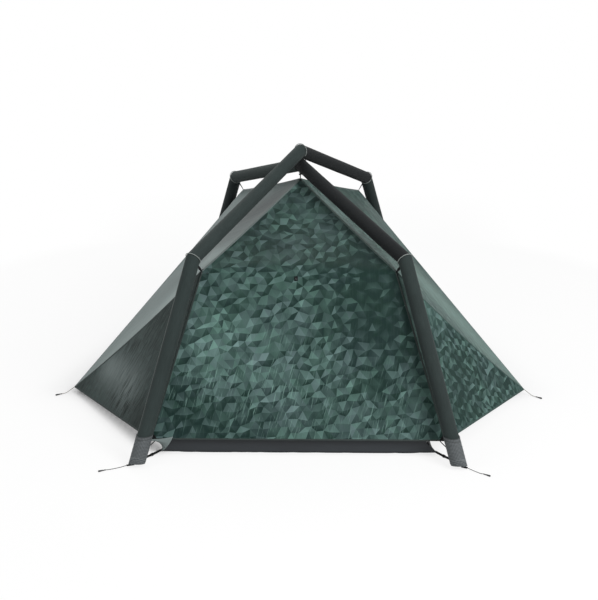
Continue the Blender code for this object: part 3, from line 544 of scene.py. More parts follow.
def setStudio():
    scene = bpy.context.scene
    scene.view_settings.view_transform = "Standard"
    scene.world = bpy.data.worlds.new("studio")
    scene.world.use_nodes = True
    sky = Graph(scene.world.node_tree)
    inputs = {"Value": seenRays(sky)[1], "To Min": studio["sky"], "To Max": 1.0}
    level = sky.add("ShaderNodeMapRange", {}, inputs, "Result")
    back = sky.nodes["Background"]
    back.inputs["Color"].default_value = (1, 1, 1, 1)
    sky.links.new(level.socket, back.inputs["Strength"])
    for count, lamp in enumerate(studio["lamps"]):
        light = bpy.data.lights.new(f"lamp{count}", "AREA")
        light.energy, light.size = lamp["watts"], lamp["size"]
        holder = linked(light.name, light)
        holder.location = lamp["place"]
        aim = Vector(lamp["aim"]) - Vector(lamp["place"])
        holder.rotation_euler = aim.to_track_quat("-Z", "Y").to_euler()


def makeFloor():
    # fine squares round the tent, wide ones beyond; the clear share whitens the floor
    reach, step, far = studio["fineReach"], studio["fineStep"], studio["farStops"]
    stops = [-s for s in reversed(far)] + [step * k - reach for k in range(round(2 * reach / step) + 1)] + far
    mesh = plainMesh(gridShape(stops, stops, lambda x, y: (x, y, studio["floorLevel"]), flat=False), "floor")
    points = np.array([v.co.xy for v in mesh.vertices])
    share = np.full(len(points), studio["glow"])
    for start, end, reach, keep in studio["shadowLines"]:
        share -= keep * np.exp(-((edgeDistance(points, [start, end]) / reach) ** 2))
    away = np.hypot(*(points / studio["glowOval"]).T)
    first, last = studio["glowEnds"]
    share = np.maximum(share, np.clip((away - first) / (last - first), 0, 1))
    setValues(mesh, "clear", share)
    f = Finish("floorPaint", 0.9, Specular_IOR_Level=0.1)
    camera, seen = seenRays(f)
    f.feed("Base Color", f.mix(studio["floorBounce"], studio["floorColour"], camera))
    white = f.add("ShaderNodeEmission", {}, {"Strength": 1.0})
    inputs = [f.attribute("clear") * seen, Wire(f, f.shader.outputs[0]), white]
    mixed = f.add("ShaderNodeMixShader", {}, inputs)
    f.links.new(mixed.socket, f.nodes["Material Output"].inputs["Surface"])
    mesh.materials.append(f.material)
    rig.stage(linked("floor", mesh))


def edgeDistance(points, outline):
    away = np.full(len(points), 1e9)
    for (x0, y0), (x1, y1) in zip(outline, outline[1:] + outline[:1]):
        a, d = np.array((x0, y0)), np.array((x1 - x0, y1 - y0))
        t = np.clip(((points - a) @ d) / (d @ d), 0, 1)
        away = np.minimum(away, np.linalg.norm(points - a - t[:, None] * d, axis=1))
    return away


# making pieces


def setValues(mesh, name, values):
    mesh.attributes.new(name, "FLOAT", "POINT").data.foreach_set("value", [float(v) for v in values])


def plainMesh(shape, name):
    mesh = bpy.data.meshes.new(name)
    shape.to_mesh(mesh)
    shape.free()
    return mesh


def outwardMesh(shape, name):
    bmesh.ops.recalc_face_normals(shape, faces=shape.faces)
    return plainMesh(shape, name)


def newPiece(name, data, finish=None, body="tent", replaces=(), slot=None, sharp=None):
    piece = linked(name, data)
    if finish:
        data.materials.append(finishes[finish])
    if piece.type == "MESH":
        data.shade_smooth()
    if sharp:
        data.set_sharp_from_angle(angle=math.radians(sharp))
    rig.ride(piece, body)
    if replaces:
        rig.replaces(piece, *replaces)
    if slot:
        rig.slot(piece, slot)
    return piece


def thicken(piece, thickness, inner=False, offset=-1):
    wall = piece.modifiers.new("wall", "SOLIDIFY")
    wall.thickness, wall.offset = thickness, offset
    if inner:
        wall.material_offset = 1
        wall.material_offset_rim = 1
    return piece


def gridShape(across, up, place, flat=True):
    shape = bmesh.new()
    verts = [[shape.verts.new(place(a, b)) for a in across] for b in up]
    uv = shape.loops.layers.uv.new("flat") if flat else None
    for j in range(len(up) - 1):
        for i in range(len(across) - 1):
            corners = ((i, j), (i + 1, j), (i + 1, j + 1), (i, j + 1))
            face = shape.faces.new([verts[b][a] for a, b in corners])
            for loop, (a, b) in zip(face.loops, corners if flat else ()):
                loop[uv].uv = (across[a], up[b])
    return shape


def even(count, low=0.0, high=1.0):
    return [low + (high - low) * k / count for k in range(count + 1)]


def between(start, end, count):
    return [start.lerp(end, share) for share in even(count)]


def frameAlong(point, along, across):
    up = along.normalized()
    side = (across - up * across.dot(up)).normalized()
    matrix = Matrix((side, up.cross(side), up)).transposed().to_4x4()
    matrix.translation = point
    return matrix


def lathe(shape, profile, sides, place):
    # rings of points for (radius, height) rows; a radius of nothing gives a tip
    rings = []
    for radius, height in profile:
        turns = [wholeTurn * k / sides for k in range(sides if radius > 1e-6 else 1)]
        rings.append([shape.verts.new(place(radius, height, turn)) for turn in turns])
    return rings


def joinRings(shape, rings, flatPlace=None):
    flat = shape.loops.layers.uv.new("flat") if flatPlace else None
    for row, (upper, lower) in enumerate(zip(rings, rings[1:])):
        for k in range(max(len(upper), len(lower))):
            corners = {}
            for ring, step, level in ((upper, k, 0), (upper, k + 1, 0), (lower, k + 1, 1), (lower, k, 1)):
                corners.setdefault(ring[step % len(ring)], (step, row + level))
            face = shape.faces.new(list(corners))
            if flatPlace:
                for loop, corner in zip(face.loops, corners.values()):
                    loop[flat].uv = flatPlace(*corner)


def onAxis(matrix):
    def place(radius, height, turn):
        return matrix @ Vector((radius * math.cos(turn), radius * math.sin(turn), height))

    return place


def turned(name, profile, matrix, finish, sides=24, **rest):
    shape = bmesh.new()
    joinRings(shape, lathe(shape, profile, sides, onAxis(matrix)))
    return newPiece(name, outwardMesh(shape, name), finish, sharp=40, **rest)


def addBox(shape, centre, size):
    for vert in bmesh.ops.create_cube(shape, size=1)["verts"]:
        vert.co = Vector([c + v * s for c, v, s in zip(centre, vert.co, size)])


def strip(name, points, width, thickness, outward, **rest):
    # a flat strip of webbing along the points, with rounded edges
    shape = bmesh.new()
    half, thick = width / 2, thickness / 2
    corner = [(half, thick * 0.4), (half - thick, thick)]
    upper = corner + [(-x, y) for x, y in reversed(corner)]
    outline = [(-x, -y) for x, y in upper] + upper
    rings = []
    for i, point in enumerate(points):
        ahead = (points[min(i + 1, len(points) - 1)] - points[max(i - 1, 0)]).normalized()
        level = (outward - ahead * outward.dot(ahead)).normalized()
        across = ahead.cross(level)
        rings.append([shape.verts.new(point + across * a + level * b) for a, b in outline])
    joinRings(shape, rings)
    shape.faces.new(rings[0])
    shape.faces.new(rings[-1])
    newPiece(name, outwardMesh(shape, name), "webbing", sharp=45, **rest)


def smoothRoute(points, steps):
    route = [Vector(p) for p in points]
    route = [2 * route[0] - route[1]] + route + [2 * route[-1] - route[-2]]
    out = []
    for before, start, end, after in zip(route, route[1:], route[2:], route[3:]):
        first, second = end - before, 2 * before - 5 * start + 4 * end - after
        third = 3 * start - before - 3 * end + after
        for t in (step / steps for step in range(steps)):
            out.append(0.5 * (2 * start + first * t + second * t**2 + third * t**3))
    return out + [route[-2]]


def lengthOf(points):
    return sum((b - a).length for a, b in zip(points, points[1:]))


def lineCurve(name, points, radius, finish, cyclic=False, resolution=3, **rest):
    curve = bpy.data.curves.new(name, "CURVE")
    curve.dimensions = "3D"
    curve.bevel_depth = radius
    curve.bevel_resolution = resolution
    curve.use_fill_caps = not cyclic
    spline = curve.splines.new("POLY")
    spline.points.add(len(points) - 1)
    for point, place in zip(spline.points, points):
        point.co = (*place, 1)
    spline.use_cyclic_u = cyclic
    spline.use_smooth = True
    return newPiece(name, curve, finish, **rest)


def teethTree(name):
    # teeth along a line, each one turned to it
    tree = bpy.data.node_groups.new(name, "GeometryNodeTree")
    sockets = (("Geometry", "Geometry"), ("Pitch", "Float"), ("Tooth", "Vector"), ("Finish", "Material"))
    for title, kind in sockets:
        tree.interface.new_socket(title, in_out="INPUT", socket_type="NodeSocket" + kind)
    tree.interface.new_socket("Geometry", in_out="OUTPUT", socket_type="NodeSocketGeometry")
    kinds = {
        "source": "NodeGroupInput",
        "line": "GeometryNodeMeshToCurve",
        "spread": "GeometryNodeResampleCurve",
        "points": "GeometryNodeCurveToPoints",
        "tooth": "GeometryNodeMeshIcoSphere",
        "put": "GeometryNodeInstanceOnPoints",
        "real": "GeometryNodeRealizeInstances",
        "paint": "GeometryNodeSetMaterial",
        "sink": "NodeGroupOutput",
    }
    steps = {key: tree.nodes.new(kind) for key, kind in kinds.items()}
    steps["spread"].mode = "LENGTH"
    steps["points"].mode = "EVALUATED"
    steps["tooth"].inputs["Subdivisions"].default_value = 1
    steps["tooth"].inputs["Radius"].default_value = 0.5
    for start, output, end, into in (
        ("source", "Geometry", "line", "Mesh"),
        ("line", "Curve", "spread", "Curve"),
        ("source", "Pitch", "spread", "Length"),
        ("spread", "Curve", "points", "Curve"),
        ("points", "Points", "put", "Points"),
        ("points", "Rotation", "put", "Rotation"),
        ("tooth", "Mesh", "put", "Instance"),
        ("source", "Tooth", "put", "Scale"),
        ("put", "Instances", "real", "Geometry"),
        ("real", "Geometry", "paint", "Geometry"),
        ("source", "Finish", "paint", "Material"),
        ("paint", "Geometry", "sink", "Geometry"),
    ):
        tree.links.new(steps[start].outputs[output], steps[end].inputs[into])
    return tree


teeth = teethTree("teethAlongLine")


def alongLines(name, lines, pitch, tooth, finish, body):
    # lines is a list of point lists; one mesh of teeth or stitches comes out
    shape = bmesh.new()
    for line in lines:
        verts = [shape.verts.new(p) for p in line]
        for pair in zip(verts, verts[1:]):
            shape.edges.new(pair)
    holder = linked(name + "Lines", plainMesh(shape, name))
    maker = holder.modifiers.new("teeth", "NODES")
    maker.node_group = teeth
    sockets = {s.name: s.identifier for s in teeth.interface.items_tree if s.in_out == "INPUT"}
    maker[sockets["Pitch"]] = pitch
    maker[sockets["Tooth"]] = tooth
    maker[sockets["Finish"]] = finishes[finish]
    graph = bpy.context.evaluated_depsgraph_get()
    result = bpy.data.meshes.new_from_object(holder.evaluated_get(graph))
    result.name = name
    bpy.data.objects.remove(holder)
    return newPiece(name, result, body=body)


setView()
setStudio()
makeFloor()
say("camera, floor and light")


# the guys and their hooks

guys = {
    "radius": 0.0015,
    "steps": 5,
    "hookGap": 0.0004,
    "hookSides": 20,
    "hook": [  # collar, tapering body and a rounded nose
        (0, 0), (0.0028, 0), (0.0030, 0.002), (0.0022, 0.005), (0.0026, 0.008),
        (0.0040, 0.026), (0.0043, 0.030), (0.0036, 0.0335), (0.0, 0.0343),
    ],
    "heights": {"foot": (0.008, 0.005, 0.0025, 0.0045), "side": (0.0258, 0.015, 0.005, 0.0045)},
    "routes": {
        "frontLeft": [(-0.776, -1.289), (-0.805, -1.303), (-0.845, -1.318), (-0.866, -1.328)],
        "frontRight": [(0.768, -1.294), (0.790, -1.312), (0.818, -1.334), (0.834, -1.346)],
        "rearLeft": [(-0.660, 1.295), (-0.688, 1.312), (-0.725, 1.334), (-0.745, 1.346)],
        "rearRight": [(0.660, 1.295), (0.688, 1.312), (0.725, 1.334), (0.745, 1.346)],
        "leftSide": [(-1.1683, -0.4202), (-1.186, -0.433), (-1.207, -0.447), (-1.226, -0.459)],
        "rightSide": [(1.1683, -0.4202), (1.186, -0.434), (1.205, -0.449), (1.222, -0.463)],
    },
}


def nodeName(place):
    return "".join("_" + c.lower() if c.isupper() else c for c in place)


def guyRoute(name):
    heights = guys["heights"]["side" if "Side" in name else "foot"]
    return [Vector((x, y, z)) for (x, y), z in zip(guys["routes"][name], heights)]


def makeGuy(name):
    points = smoothRoute(guyRoute(name), guys["steps"])
    finish, node = "sideCord" if "Side" in name else "footCord", nodeName(name) + "_guy"
    cord = lineCurve(name + "GuyCord", points, guys["radius"], finish, replaces=(node,))
    run = points[-1] - points[-2]
    level = Vector((run.x, run.y, 0)).normalized()
    place = frameAlong(points[-1] + level * guys["hookGap"], level, upwards)
    look = {"sides": guys["hookSides"], "replaces": (node + "_hook",), "slot": "plastic"}
    hook = turned(name + "GuyHook", guys["hook"], place, "plastic", **look)
    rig.cord(
        cord,
        exit=points[0],
        length=lengthOf(points),
        diameter=2 * guys["radius"],
        far_end="fitting",
        stiffness="limp",
        lay="loose",
        with_pieces=[hook],
    )


for name in guys["routes"]:
    makeGuy(name)
say("guys")


# the two arches

arches = {
    "tubeRadius": 0.0343,
    "sleeveInset": 0.0002,
    "sleeveWall": 0.0012,
    "mitreGap": 0.0006,
    "sides": 56,
    "steps": 110,
    "endShare": 0.55,  # how much closer together the rings lie towards the ends
    "pinch": (0.0010, 0.004),  # depth and reach of the gather at a mitre
    "ripple": (0.0009, 0.021, 0.045),  # height, pitch and reach of the ripples inside a bend
    "bumps": 0.0005,
    "lines": {  # where each joint stands, from the front foot to the rear one
        "upper": [(-0.7243, -1.272), (-0.494, -0.835), (0.0, 0.1025), (0.386, 0.835), (0.6163, 1.272)],
        "lower": [(0.7243, -1.272), (0.494, -0.835), (0.0, 0.1025), (-0.386, 0.835), (-0.6163, 1.272)],
    },
    "footHeight": 0.0354,
    "shoulderHeight": 0.8525,
    "crossingHeight": {"upper": 1.166, "lower": 1.0919},
    "segments": ("front_leg", "front_beam", "rear_beam", "rear_leg"),
    "elbows": ((1, "front_shoulder"), (2, "crossing"), (3, "rear_shoulder")),
    "footLift": 0.004,
    # painted shade of each length: front leg, front beam, rear beam, rear leg
    "dye": {"upper": (0.0, 0.0, 0.92, 0.2), "lower": (0.08, 0.92, 0.0, 0.35)},
    # the leg's light line is a painted highlight of sheen, set just inside the edge that the camera sees
    "seam": {"turn": math.radians(9), "half": math.radians(9), "share": 0.45, "top": 0.80, "fade": 0.1},
    "piping": {"radius": 0.0018, "gap": 0.0004, "sides": 72, "halfAtCrossing": 26},
    "bladder": {"inset": 0.0025, "lift": 0.013, "sides": 24, "steps": 12},
}


class ArchLine:
    def __init__(self, name):
        self.name = name
        foot, shoulder, crossing = (arches[k + "Height"] for k in ("foot", "shoulder", "crossing"))
        heights = (foot, shoulder, crossing[name], shoulder, foot)
        self.joints = [Vector((x, y, z)) for (x, y), z in zip(arches["lines"][name], heights)]
        plan = self.joints[3] - self.joints[1]
        self.side = Vector((plan.x, plan.y, 0)).normalized().cross(upwards)

    def along(self, segment):
        return (self.joints[segment + 1] - self.joints[segment]).normalized()

    def mitre(self, joint):
        if joint in (0, 4):
            return self.along(min(joint, 3))
        return (self.along(joint - 1) + self.along(joint)).normalized()

    def inward(self, joint):
        return (self.along(joint) - self.along(joint - 1)).normalized()

    def leg(self, joint):
        # upwards along the leg that stands on this joint
        return (self.joints[1 if joint == 0 else 3] - self.joints[joint]).normalized()

    def spoke(self, segment, turn):
        return math.cos(turn) * self.side + math.sin(turn) * self.side.cross(self.along(segment))

    def slideTo(self, segment, point, plane, normal):
        return (plane - point).dot(normal) / self.along(segment).dot(normal)

    def ring(self, segment, joint, radius, sides):
        points = []
        for k in range(sides):
            start = self.joints[segment] + radius * self.spoke(segment, wholeTurn * k / sides)
            slide = self.slideTo(segment, start, self.joints[joint], self.mitre(joint))
            points.append(start + self.along(segment) * slide)
        return points


upperArch, lowerArch = ArchLine("upper"), ArchLine("lower")
tentCorners = (  # name, arch, its joint at the foot and side
    ("frontLeft", upperArch, 0, -1),
    ("frontRight", lowerArch, 0, 1),
    ("rearLeft", lowerArch, 4, -1),
    ("rearRight", upperArch, 4, 1),
)


def sleeveShape(arch, segment):
    along, start = arch.along(segment), arch.joints[segment]
    sides, steps = arches["sides"], arches["steps"]
    radius = arches["tubeRadius"] - arches["sleeveInset"]
    (pinch, pinchReach), (rise, pitch, rippleReach) = arches["pinch"], arches["ripple"]
    planes = []
    for joint, sign in ((segment, 1), (segment + 1, -1)):
        lift = arches["footLift"] if joint in (0, 4) else arches["mitreGap"] / 2
        normal = arch.mitre(joint)
        planes.append((arch.joints[joint] + normal * lift * sign, normal))
    shape = bmesh.new()
    rings, slides = [], []
    for i in range(steps + 1):
        rings.append([])
        slides.append([])
        closer = arches["endShare"]
        t = (1 - closer) * i / steps + closer * (0.5 - 0.5 * math.cos(math.pi * i / steps))
        for k in range(sides):
            turn = wholeTurn * k / sides
            spoke = arch.spoke(segment, turn)
            ends = [arch.slideTo(segment, start + radius * spoke, *plane) for plane in planes]
            slide = ends[0] + (ends[1] - ends[0]) * t
            size = radius
            for end, joint in zip(ends, (segment, segment + 1)):
                if joint in (0, 4):
                    continue
                gap = abs(slide - end)
                inBend = max(0, spoke.dot(arch.inward(joint)))
                shift = 3 * noise.noise(Vector((turn * 1.5, gap * 30, joint * 7 + segment)))
                size -= pinch * math.exp(-((gap / pinchReach) ** 2))
                ripple = math.sin(wholeTurn * gap / pitch + shift) * inBend**1.5
                size += rise * ripple * math.exp(-gap / rippleReach)
            bump = noise.noise(Vector((math.cos(turn) * 1.2, math.sin(turn) * 1.2, slide * 5 + segment * 11)))
            size += arches["bumps"] * bump
            rings[-1].append(shape.verts.new(start + along * slide + spoke * size))
            slides[-1].append(slide)
    facet = wholeTurn * radius / sides
    joinRings(shape, rings, lambda step, row: (step * facet, slides[row][step % sides]))
    return shape


def makeArch(arch):
    for segment, place in enumerate(arches["segments"]):
        mesh = outwardMesh(sleeveShape(arch, segment), f"{arch.name}{place}")
        shadeSleeve(arch, segment, mesh)
        node = f"{arch.name}_arch_{place}_sleeve"
        piece = newPiece(f"{arch.name}ArchSleeve{segment}", mesh, "sleeve", replaces=(node,))
        thicken(piece, arches["sleeveWall"])
    piping = arches["piping"]
    radius, sides = arches["tubeRadius"] + piping["gap"] + piping["radius"], piping["sides"]
    for joint, place in arches["elbows"]:
        points = arch.ring(joint, joint, radius, sides)
        finish, crossing = "piping", place == "crossing"
        if crossing:  # only the half that faces away from the other arch
            middle = sides // 4 if arch is upperArch else sides * 3 // 4
            half = piping["halfAtCrossing"]
            points = [points[(middle + k) % sides] for k in range(-half, half + 1)]
            finish = "piping" if arch is upperArch else "darkPiping"
        name, node = f"{arch.name}ArchPiping{joint}", f"{arch.name}_arch_{place}_piping"
        lineCurve(name, points, piping["radius"], finish, cyclic=not crossing, replaces=(node,))
    makeBladder(arch)


def shadeSleeve(arch, segment, mesh):
    # a thin light line down the outer side of the upper arch's front leg, turned in from its edge as the camera sees
    # it: a painted highlight of sheen at the silhouette, kept in the seam attribute; and the painted shade of each
    # length
    seam = arches["seam"]
    start, along = arch.joints[segment], arch.along(segment)
    up = arch.side.cross(along)
    outer = along.cross(Vector(view["place"]) - start)
    if outer.x * arch.joints[0].x < 0:
        outer = -outer
    toEye = outer.cross(along) * (1 if outer.cross(along).y < 0 else -1)
    outer = outer.normalized() * math.cos(seam["turn"]) + toEye.normalized() * math.sin(seam["turn"])
    target = math.atan2(outer.dot(up), outer.dot(arch.side))
    values = np.zeros(len(mesh.vertices))
    for vert in mesh.vertices if arch is upperArch and segment == 0 else ():
        offset = vert.co - start
        spoke = offset - along * offset.dot(along)
        away = (math.atan2(spoke.dot(up), spoke.dot(arch.side)) - target + math.pi) % wholeTurn - math.pi
        if abs(away) < seam["half"]:
            values[vert.index] = seam["share"] * min(max((seam["top"] - vert.co.z) / seam["fade"], 0), 1)
    setValues(mesh, "seam", values)
    setValues(mesh, "dye", [arches["dye"][arch.name][segment]] * len(values))


def makeBladder(arch):
    look = arches["bladder"]
    radius = arches["tubeRadius"] - look["inset"]
    ends = []
    for joint, lift in enumerate((look["lift"], 0, 0, 0, -look["lift"])):
        segment = min(joint, 3)
        ring = arch.ring(segment, joint, radius, look["sides"])
        ends.append([p + arch.along(segment) * lift for p in ring])
    rings = []
    for first, second in zip(ends, ends[1:]):
        for share in even(look["steps"])[:-1]:
            rings.append([a.lerp(b, share) for a, b in zip(first, second)])
    shape = bmesh.new()
    verts = [[shape.verts.new(p) for p in ring] for ring in rings + ends[-1:]]
    joinRings(shape, verts)
    shape.faces.new(verts[0])
    shape.faces.new(verts[-1])
    name = f"{arch.name}ArchBladder"
    newPiece(name, outwardMesh(shape, name), "bladder", replaces=(f"{arch.name}_arch_bladder",))


makeArch(upperArch)
makeArch(lowerArch)
say("arches")


# boots

boots = {
    "gap": 0.0004,
    "wall": 0.0022,
    "height": 0.105,
    "sides": 64,
    "rimHeight": 0.133,
    "wallSteps": 24,
    "waves": (0.0003, 1.3),
    "endSteps": 20,
    "endPower": (2.3, 9.0),
    "endDepth": (1.12, 1.5),
    "toeRise": (0.010, 0.30),
    "sole": 0.0003,
    "binding": (0.0035, 0.55),  # width and shade of the rim's binding
    "stitches": (0.0115, 0.0028, 0.4),  # drop, half width and shade of the row below it
    "tab": {"width": 0.0155, "thickness": 0.0022, "rootShare": 0.55, "gap": 0.0004},
}


def bootProfile(radius, outer):
    # (radius, height) from the inside of the rim down the wall and round the end
    top = boots["height"]
    brim = top - 0.0012
    profile = [(radius, -0.002), (radius, top - 0.001), (radius + 0.0008, top)]
    profile += [(outer, top), (outer + 0.0004, brim)]
    depth, pace = boots["waves"]
    for step in range(1, boots["wallSteps"]):
        profile.append((outer + depth * math.sin(step * pace), brim * (1 - step / boots["wallSteps"])))
    for turn in even(boots["endSteps"], 0, math.pi / 2)[:-1]:
        profile.append((outer * math.cos(turn), -outer * math.sin(turn)))
    return profile + [(0, -outer)]


def makeBoot(place, arch, joint):
    foot, leg = arch.joints[joint], arch.leg(joint)
    radius = arches["tubeRadius"] + boots["gap"]
    outer = radius + boots["wall"]
    matrix = frameAlong(foot, leg, arch.side)
    profile = bootProfile(radius, outer)

    def bootPoint(size, height, turn):
        spoke = matrix.to_3x3() @ Vector((math.cos(turn), math.sin(turn), 0))
        point = foot + spoke * size + leg * height
        if height <= 0 and size != radius:  # the end is cut level, more so at its outer side
            sharp = max(spoke.x * math.copysign(1, foot.x), 0) ** 2
            blunt, deep = (low + (high - low) * sharp for low, high in (boots["endPower"], boots["endDepth"]))
            across, down = ((share / outer) ** (2 / blunt) for share in (size, -height))
            point = foot + (spoke * across - leg * down * deep) * outer
        if height > 0:  # the rim lies level, so the wall is longer on one side
            base = foot + spoke * size
            point = base + (point - base) * (boots["rimHeight"] - base.z) / (leg.z * boots["height"])
        toe = (point.y - foot.y) * math.copysign(1, foot.y)
        sole = max(boots["toeRise"][0] + boots["toeRise"][1] * toe, boots["sole"])
        return point + leg * max((sole - point.z) / leg.z, 0)

    lengths = [0]
    for a, b in zip(profile, profile[1:]):
        lengths.append(lengths[-1] + math.dist(a, b))
    facet = outer * wholeTurn / boots["sides"]
    shape = bmesh.new()
    rings = lathe(shape, profile, boots["sides"], bootPoint)
    joinRings(shape, rings, lambda step, row: (step * facet, lengths[row]))
    shape.faces.new(list(reversed(rings[0])))
    mesh = outwardMesh(shape, place + "Boot")
    drop = boots["rimHeight"] - np.array([v.co.z for v in mesh.vertices])
    (binding, bindingShade), (low, half, rowShade) = boots["binding"], boots["stitches"]
    row = np.where(abs(drop - low) < half, rowShade, 0)
    setValues(mesh, "seam", np.where(drop < binding, bindingShade, row))
    newPiece(place + "Boot", mesh, "boot", replaces=(nodeName(place) + "_boot",))
    # the webbing tab that the guy is tied to
    tab = boots["tab"]
    tip = guyRoute(place)[0]
    start = Vector((foot.x, foot.y, tip.z))
    reach = (tip - start).normalized()
    points = between(start + reach * outer * tab["rootShare"], tip - reach * tab["gap"], 2)
    strip(place + "Tab", points, tab["width"], tab["thickness"], upwards)


for title, arch, joint, side in tentCorners:
    makeBoot(title, arch, joint)
say("boots")


# the fly sheet

fly = {
    "peak": (0, 0.1025, 1.019),
    "frontCorner": (0.458, -0.83, 0.791),
    "rearCorner": (0.343, 0.83, 0.778),
    "sideCorner": (1.168, -0.42, 0.026),
    "frontHem": (0.6863, -1.145, 0.07),
    "rearHem": (0.5783, 1.145, 0.07),
    "doorTop": (0.37985, 0.77414, 0.74434),
    "doorFoot": (0.61709, 1.04211, 0.06707),
    "frontFoldShare": 0.46,
    "roofFoldShare": 0.70,
    "softness": 0.07,
    "frontFoldSag": 0.012,
    "roofFoldSag": 0.018,
    "frontRidgeSag": 0.018,
    "topRidgeSag": 0.006,
    "edgeReach": 0.03,  # the folds die away over this reach towards an edge
    "edgeInset": 0.008,
    "thickness": 0.0009,
    "cell": 0.0145,
    "facet": {"width": 0.037, "height": 0.033, "turn": 0.3, "jitter": 0.24, "rise": 0.45, "spread": 0.2},
    "tone": {"middle": 0.36, "curve": 1.5, "relief": 0.46, "cluster": 0.13, "spread": 0.2, "tints": 0.35},
    "frontLights": [  # x, y, size and gain of the painted light and painted shade in the print's tone
        (-0.42, 0.42, 0.26, 0.24), (0.0, 0.42, 0.30, 0.14), (0.38, 0.74, 0.30, -0.38),
        (0.45, 0.38, 0.2, -0.14), (-0.48, 0.06, 0.2, -0.28), (0.42, 0.02, 0.2, 0.06),
        (0.0, 1.25, 0.4, -0.09), (-0.32, 0.9, 0.2, -0.13),
    ],
    "patches": {  # the same for the painted light, the painted shade and the streak lines
        "front": {
            "pulled": [
                (-0.5, 0.25, 0.18, 0.6), (0.0, 0.1, 0.28, 0.6), (0.44, 0.1, 0.2, 0.6),
                (-0.2, 0.3, 0.24, 0.5),
            ]
        },
        "rear": {"pulled": [(0.0, 0.1, 0.4, 0.3)]},
        "roofLeft": {
            "shade": [(0.84, 0.26, 0.30, 0.95), (0.42, 0.07, 0.18, 0.42), (0.62, -0.26, 0.2, 0.14)],
            "bloom": [(0.18, 0.0, 0.18, 0.75), (0.18, -0.28, 0.14, 0.6), (0.2, -0.6, 0.3, 0.4)],
        },
        "roofRight": {
            "bloom": [
                (0.60, -0.33, 0.26, 0.46), (0.55, -0.66, 0.26, 0.42), (0.45, -0.98, 0.24, 0.36),
                (0.74, 0.30, 0.14, 0.22), (0.18, 0.02, 0.1, 0.2),
            ],
            "shade": [(0.36, 0.12, 0.20, 0.45), (1.28, 0.1, 0.25, 0.5), (0.2, -0.5, 0.12, 0.2)],
        },
        "sideLeft": {
            "bloom": [
                (0.25, 0.20, 0.09, 0.62), (0.37, 0.20, 0.10, 0.52), (0.52, 0.17, 0.11, 0.66),
                (0.45, 0.42, 0.14, 0.12),
            ],
            "pulled": [
                (0.06, 0.03, 0.14, 1.0), (0.68, 0.05, 0.18, 1.0), (0.48, 0.06, 0.12, 0.8),
                (0.56, 0.52, 0.2, 0.9), (0.40, 0.36, 0.12, 0.5),
            ],
            "shade": [(0.72, 0.03, 0.16, 0.7), (0.05, 0.02, 0.10, 0.5), (0.6, 0.55, 0.18, 0.35)],
        },
        "sideRight": {
            "bloom": [(0.61, 0.62, 0.12, 0.25)]
            + [(0.862 - 0.11 * k / 6, 0.78 * k / 6, 0.07, 0.5) for k in range(1, 7)],
            "shade": [(0.60, 0.20, 0.16, 0.35)],
            "pulled": [(0.5, 0.3, 0.3, 0.15)],
        },
    },
}
for key, value in fly.items():
    if isinstance(value, tuple):
        fly[key] = Vector(value)


def mirrored(point, side):
    return Vector((point.x * side, point.y, point.z))


def within(value, low=0, high=1):
    return min(max(value, low), high)


def smoothed(share):
    return share * share * (3 - 2 * share)


def sagged(start, end, share, sag):
    point = start.lerp(end, share)
    point.z -= 4 * sag * share * (1 - share)
    return point


def twoPartEdge(points, fold, sags):
    def edge(share):
        if share <= fold:
            return sagged(points[0], points[1], share / fold, sags[0])
        return sagged(points[1], points[2], (share - fold) / (1 - fold), sags[1])

    return edge


def foldedSheet(left, right, fold, sag):
    def row(up, across):
        return left(up).lerp(right(up), across)

    def surface(across, up):
        middle = 4 * across * (1 - across)
        soft = max(fly["softness"] * middle, 1e-5)
        if up <= fold - soft:
            return row(up, across)
        if up >= fold + soft:
            point = row(up, across)
        else:
            before, atFold, after = (row(level, across) for level in (fold - soft, fold, fold + soft))
            incoming, outgoing = (atFold - before) / soft, (after - atFold) / soft
            past = (up - fold + soft) ** 2 / (4 * soft)
            point = atFold + incoming * (up - fold) + (outgoing - incoming) * past
        share = max((up - fold) / (1 - fold), 0)
        point.z -= sag * middle * 4 * share * (1 - share)
        return point

    return surface


def weights(point, a, b, c):
    # barycentric weights in the flat
    whole = (b - a).cross(c - a)
    return [(second - point).cross(third - point) / whole for second, third in ((b, c), (c, a), (a, b))]


def layFlat(a, b, c, sign=1):
    run = (b - a).normalized()
    along = (c - a).dot(run)
    return Vector((along, sign * math.sqrt(max((c - a).length_squared - along**2, 0))))


def noFolds(x, y):
    return 0.0


class Cloth:
    # a cut sheet: outline is its flat shape, place() puts a flat point on the tent
    def settle(self, outward, folds=noFolds):
        self.folds, self.turn = folds, 1
        self.middle = Vector(np.array(self.outline).mean(axis=0))
        if self.normal(*self.middle).dot(outward) < 0:
            self.turn = -1
        return self

    def normal(self, x, y):
        step = 0.003
        alongX = self.place(x + step, y) - self.place(x - step, y)
        alongY = self.place(x, y + step) - self.place(x, y - step)
        across = alongX.cross(alongY)
        return across.normalized() * self.turn if across.length > 1e-12 else upwards

    def at(self, x, y, lift=0.0):
        # the cloth's outer face there, with its folds, raised by lift
        away = float(edgeDistance(np.array([(x, y)]), self.outline)[0])
        soft = smoothed(min(away / fly["edgeReach"], 1))
        rise = lift + (self.folds(x, y) * soft if soft > 0 else 0)
        if not rise:
            return self.place(x, y)
        spot = Vector((x, y))  # normals are read a little inside the edge
        spot += (self.middle - spot).normalized() * max(fly["edgeInset"] - away, 0)
        return self.place(x, y) + self.normal(*spot) * rise


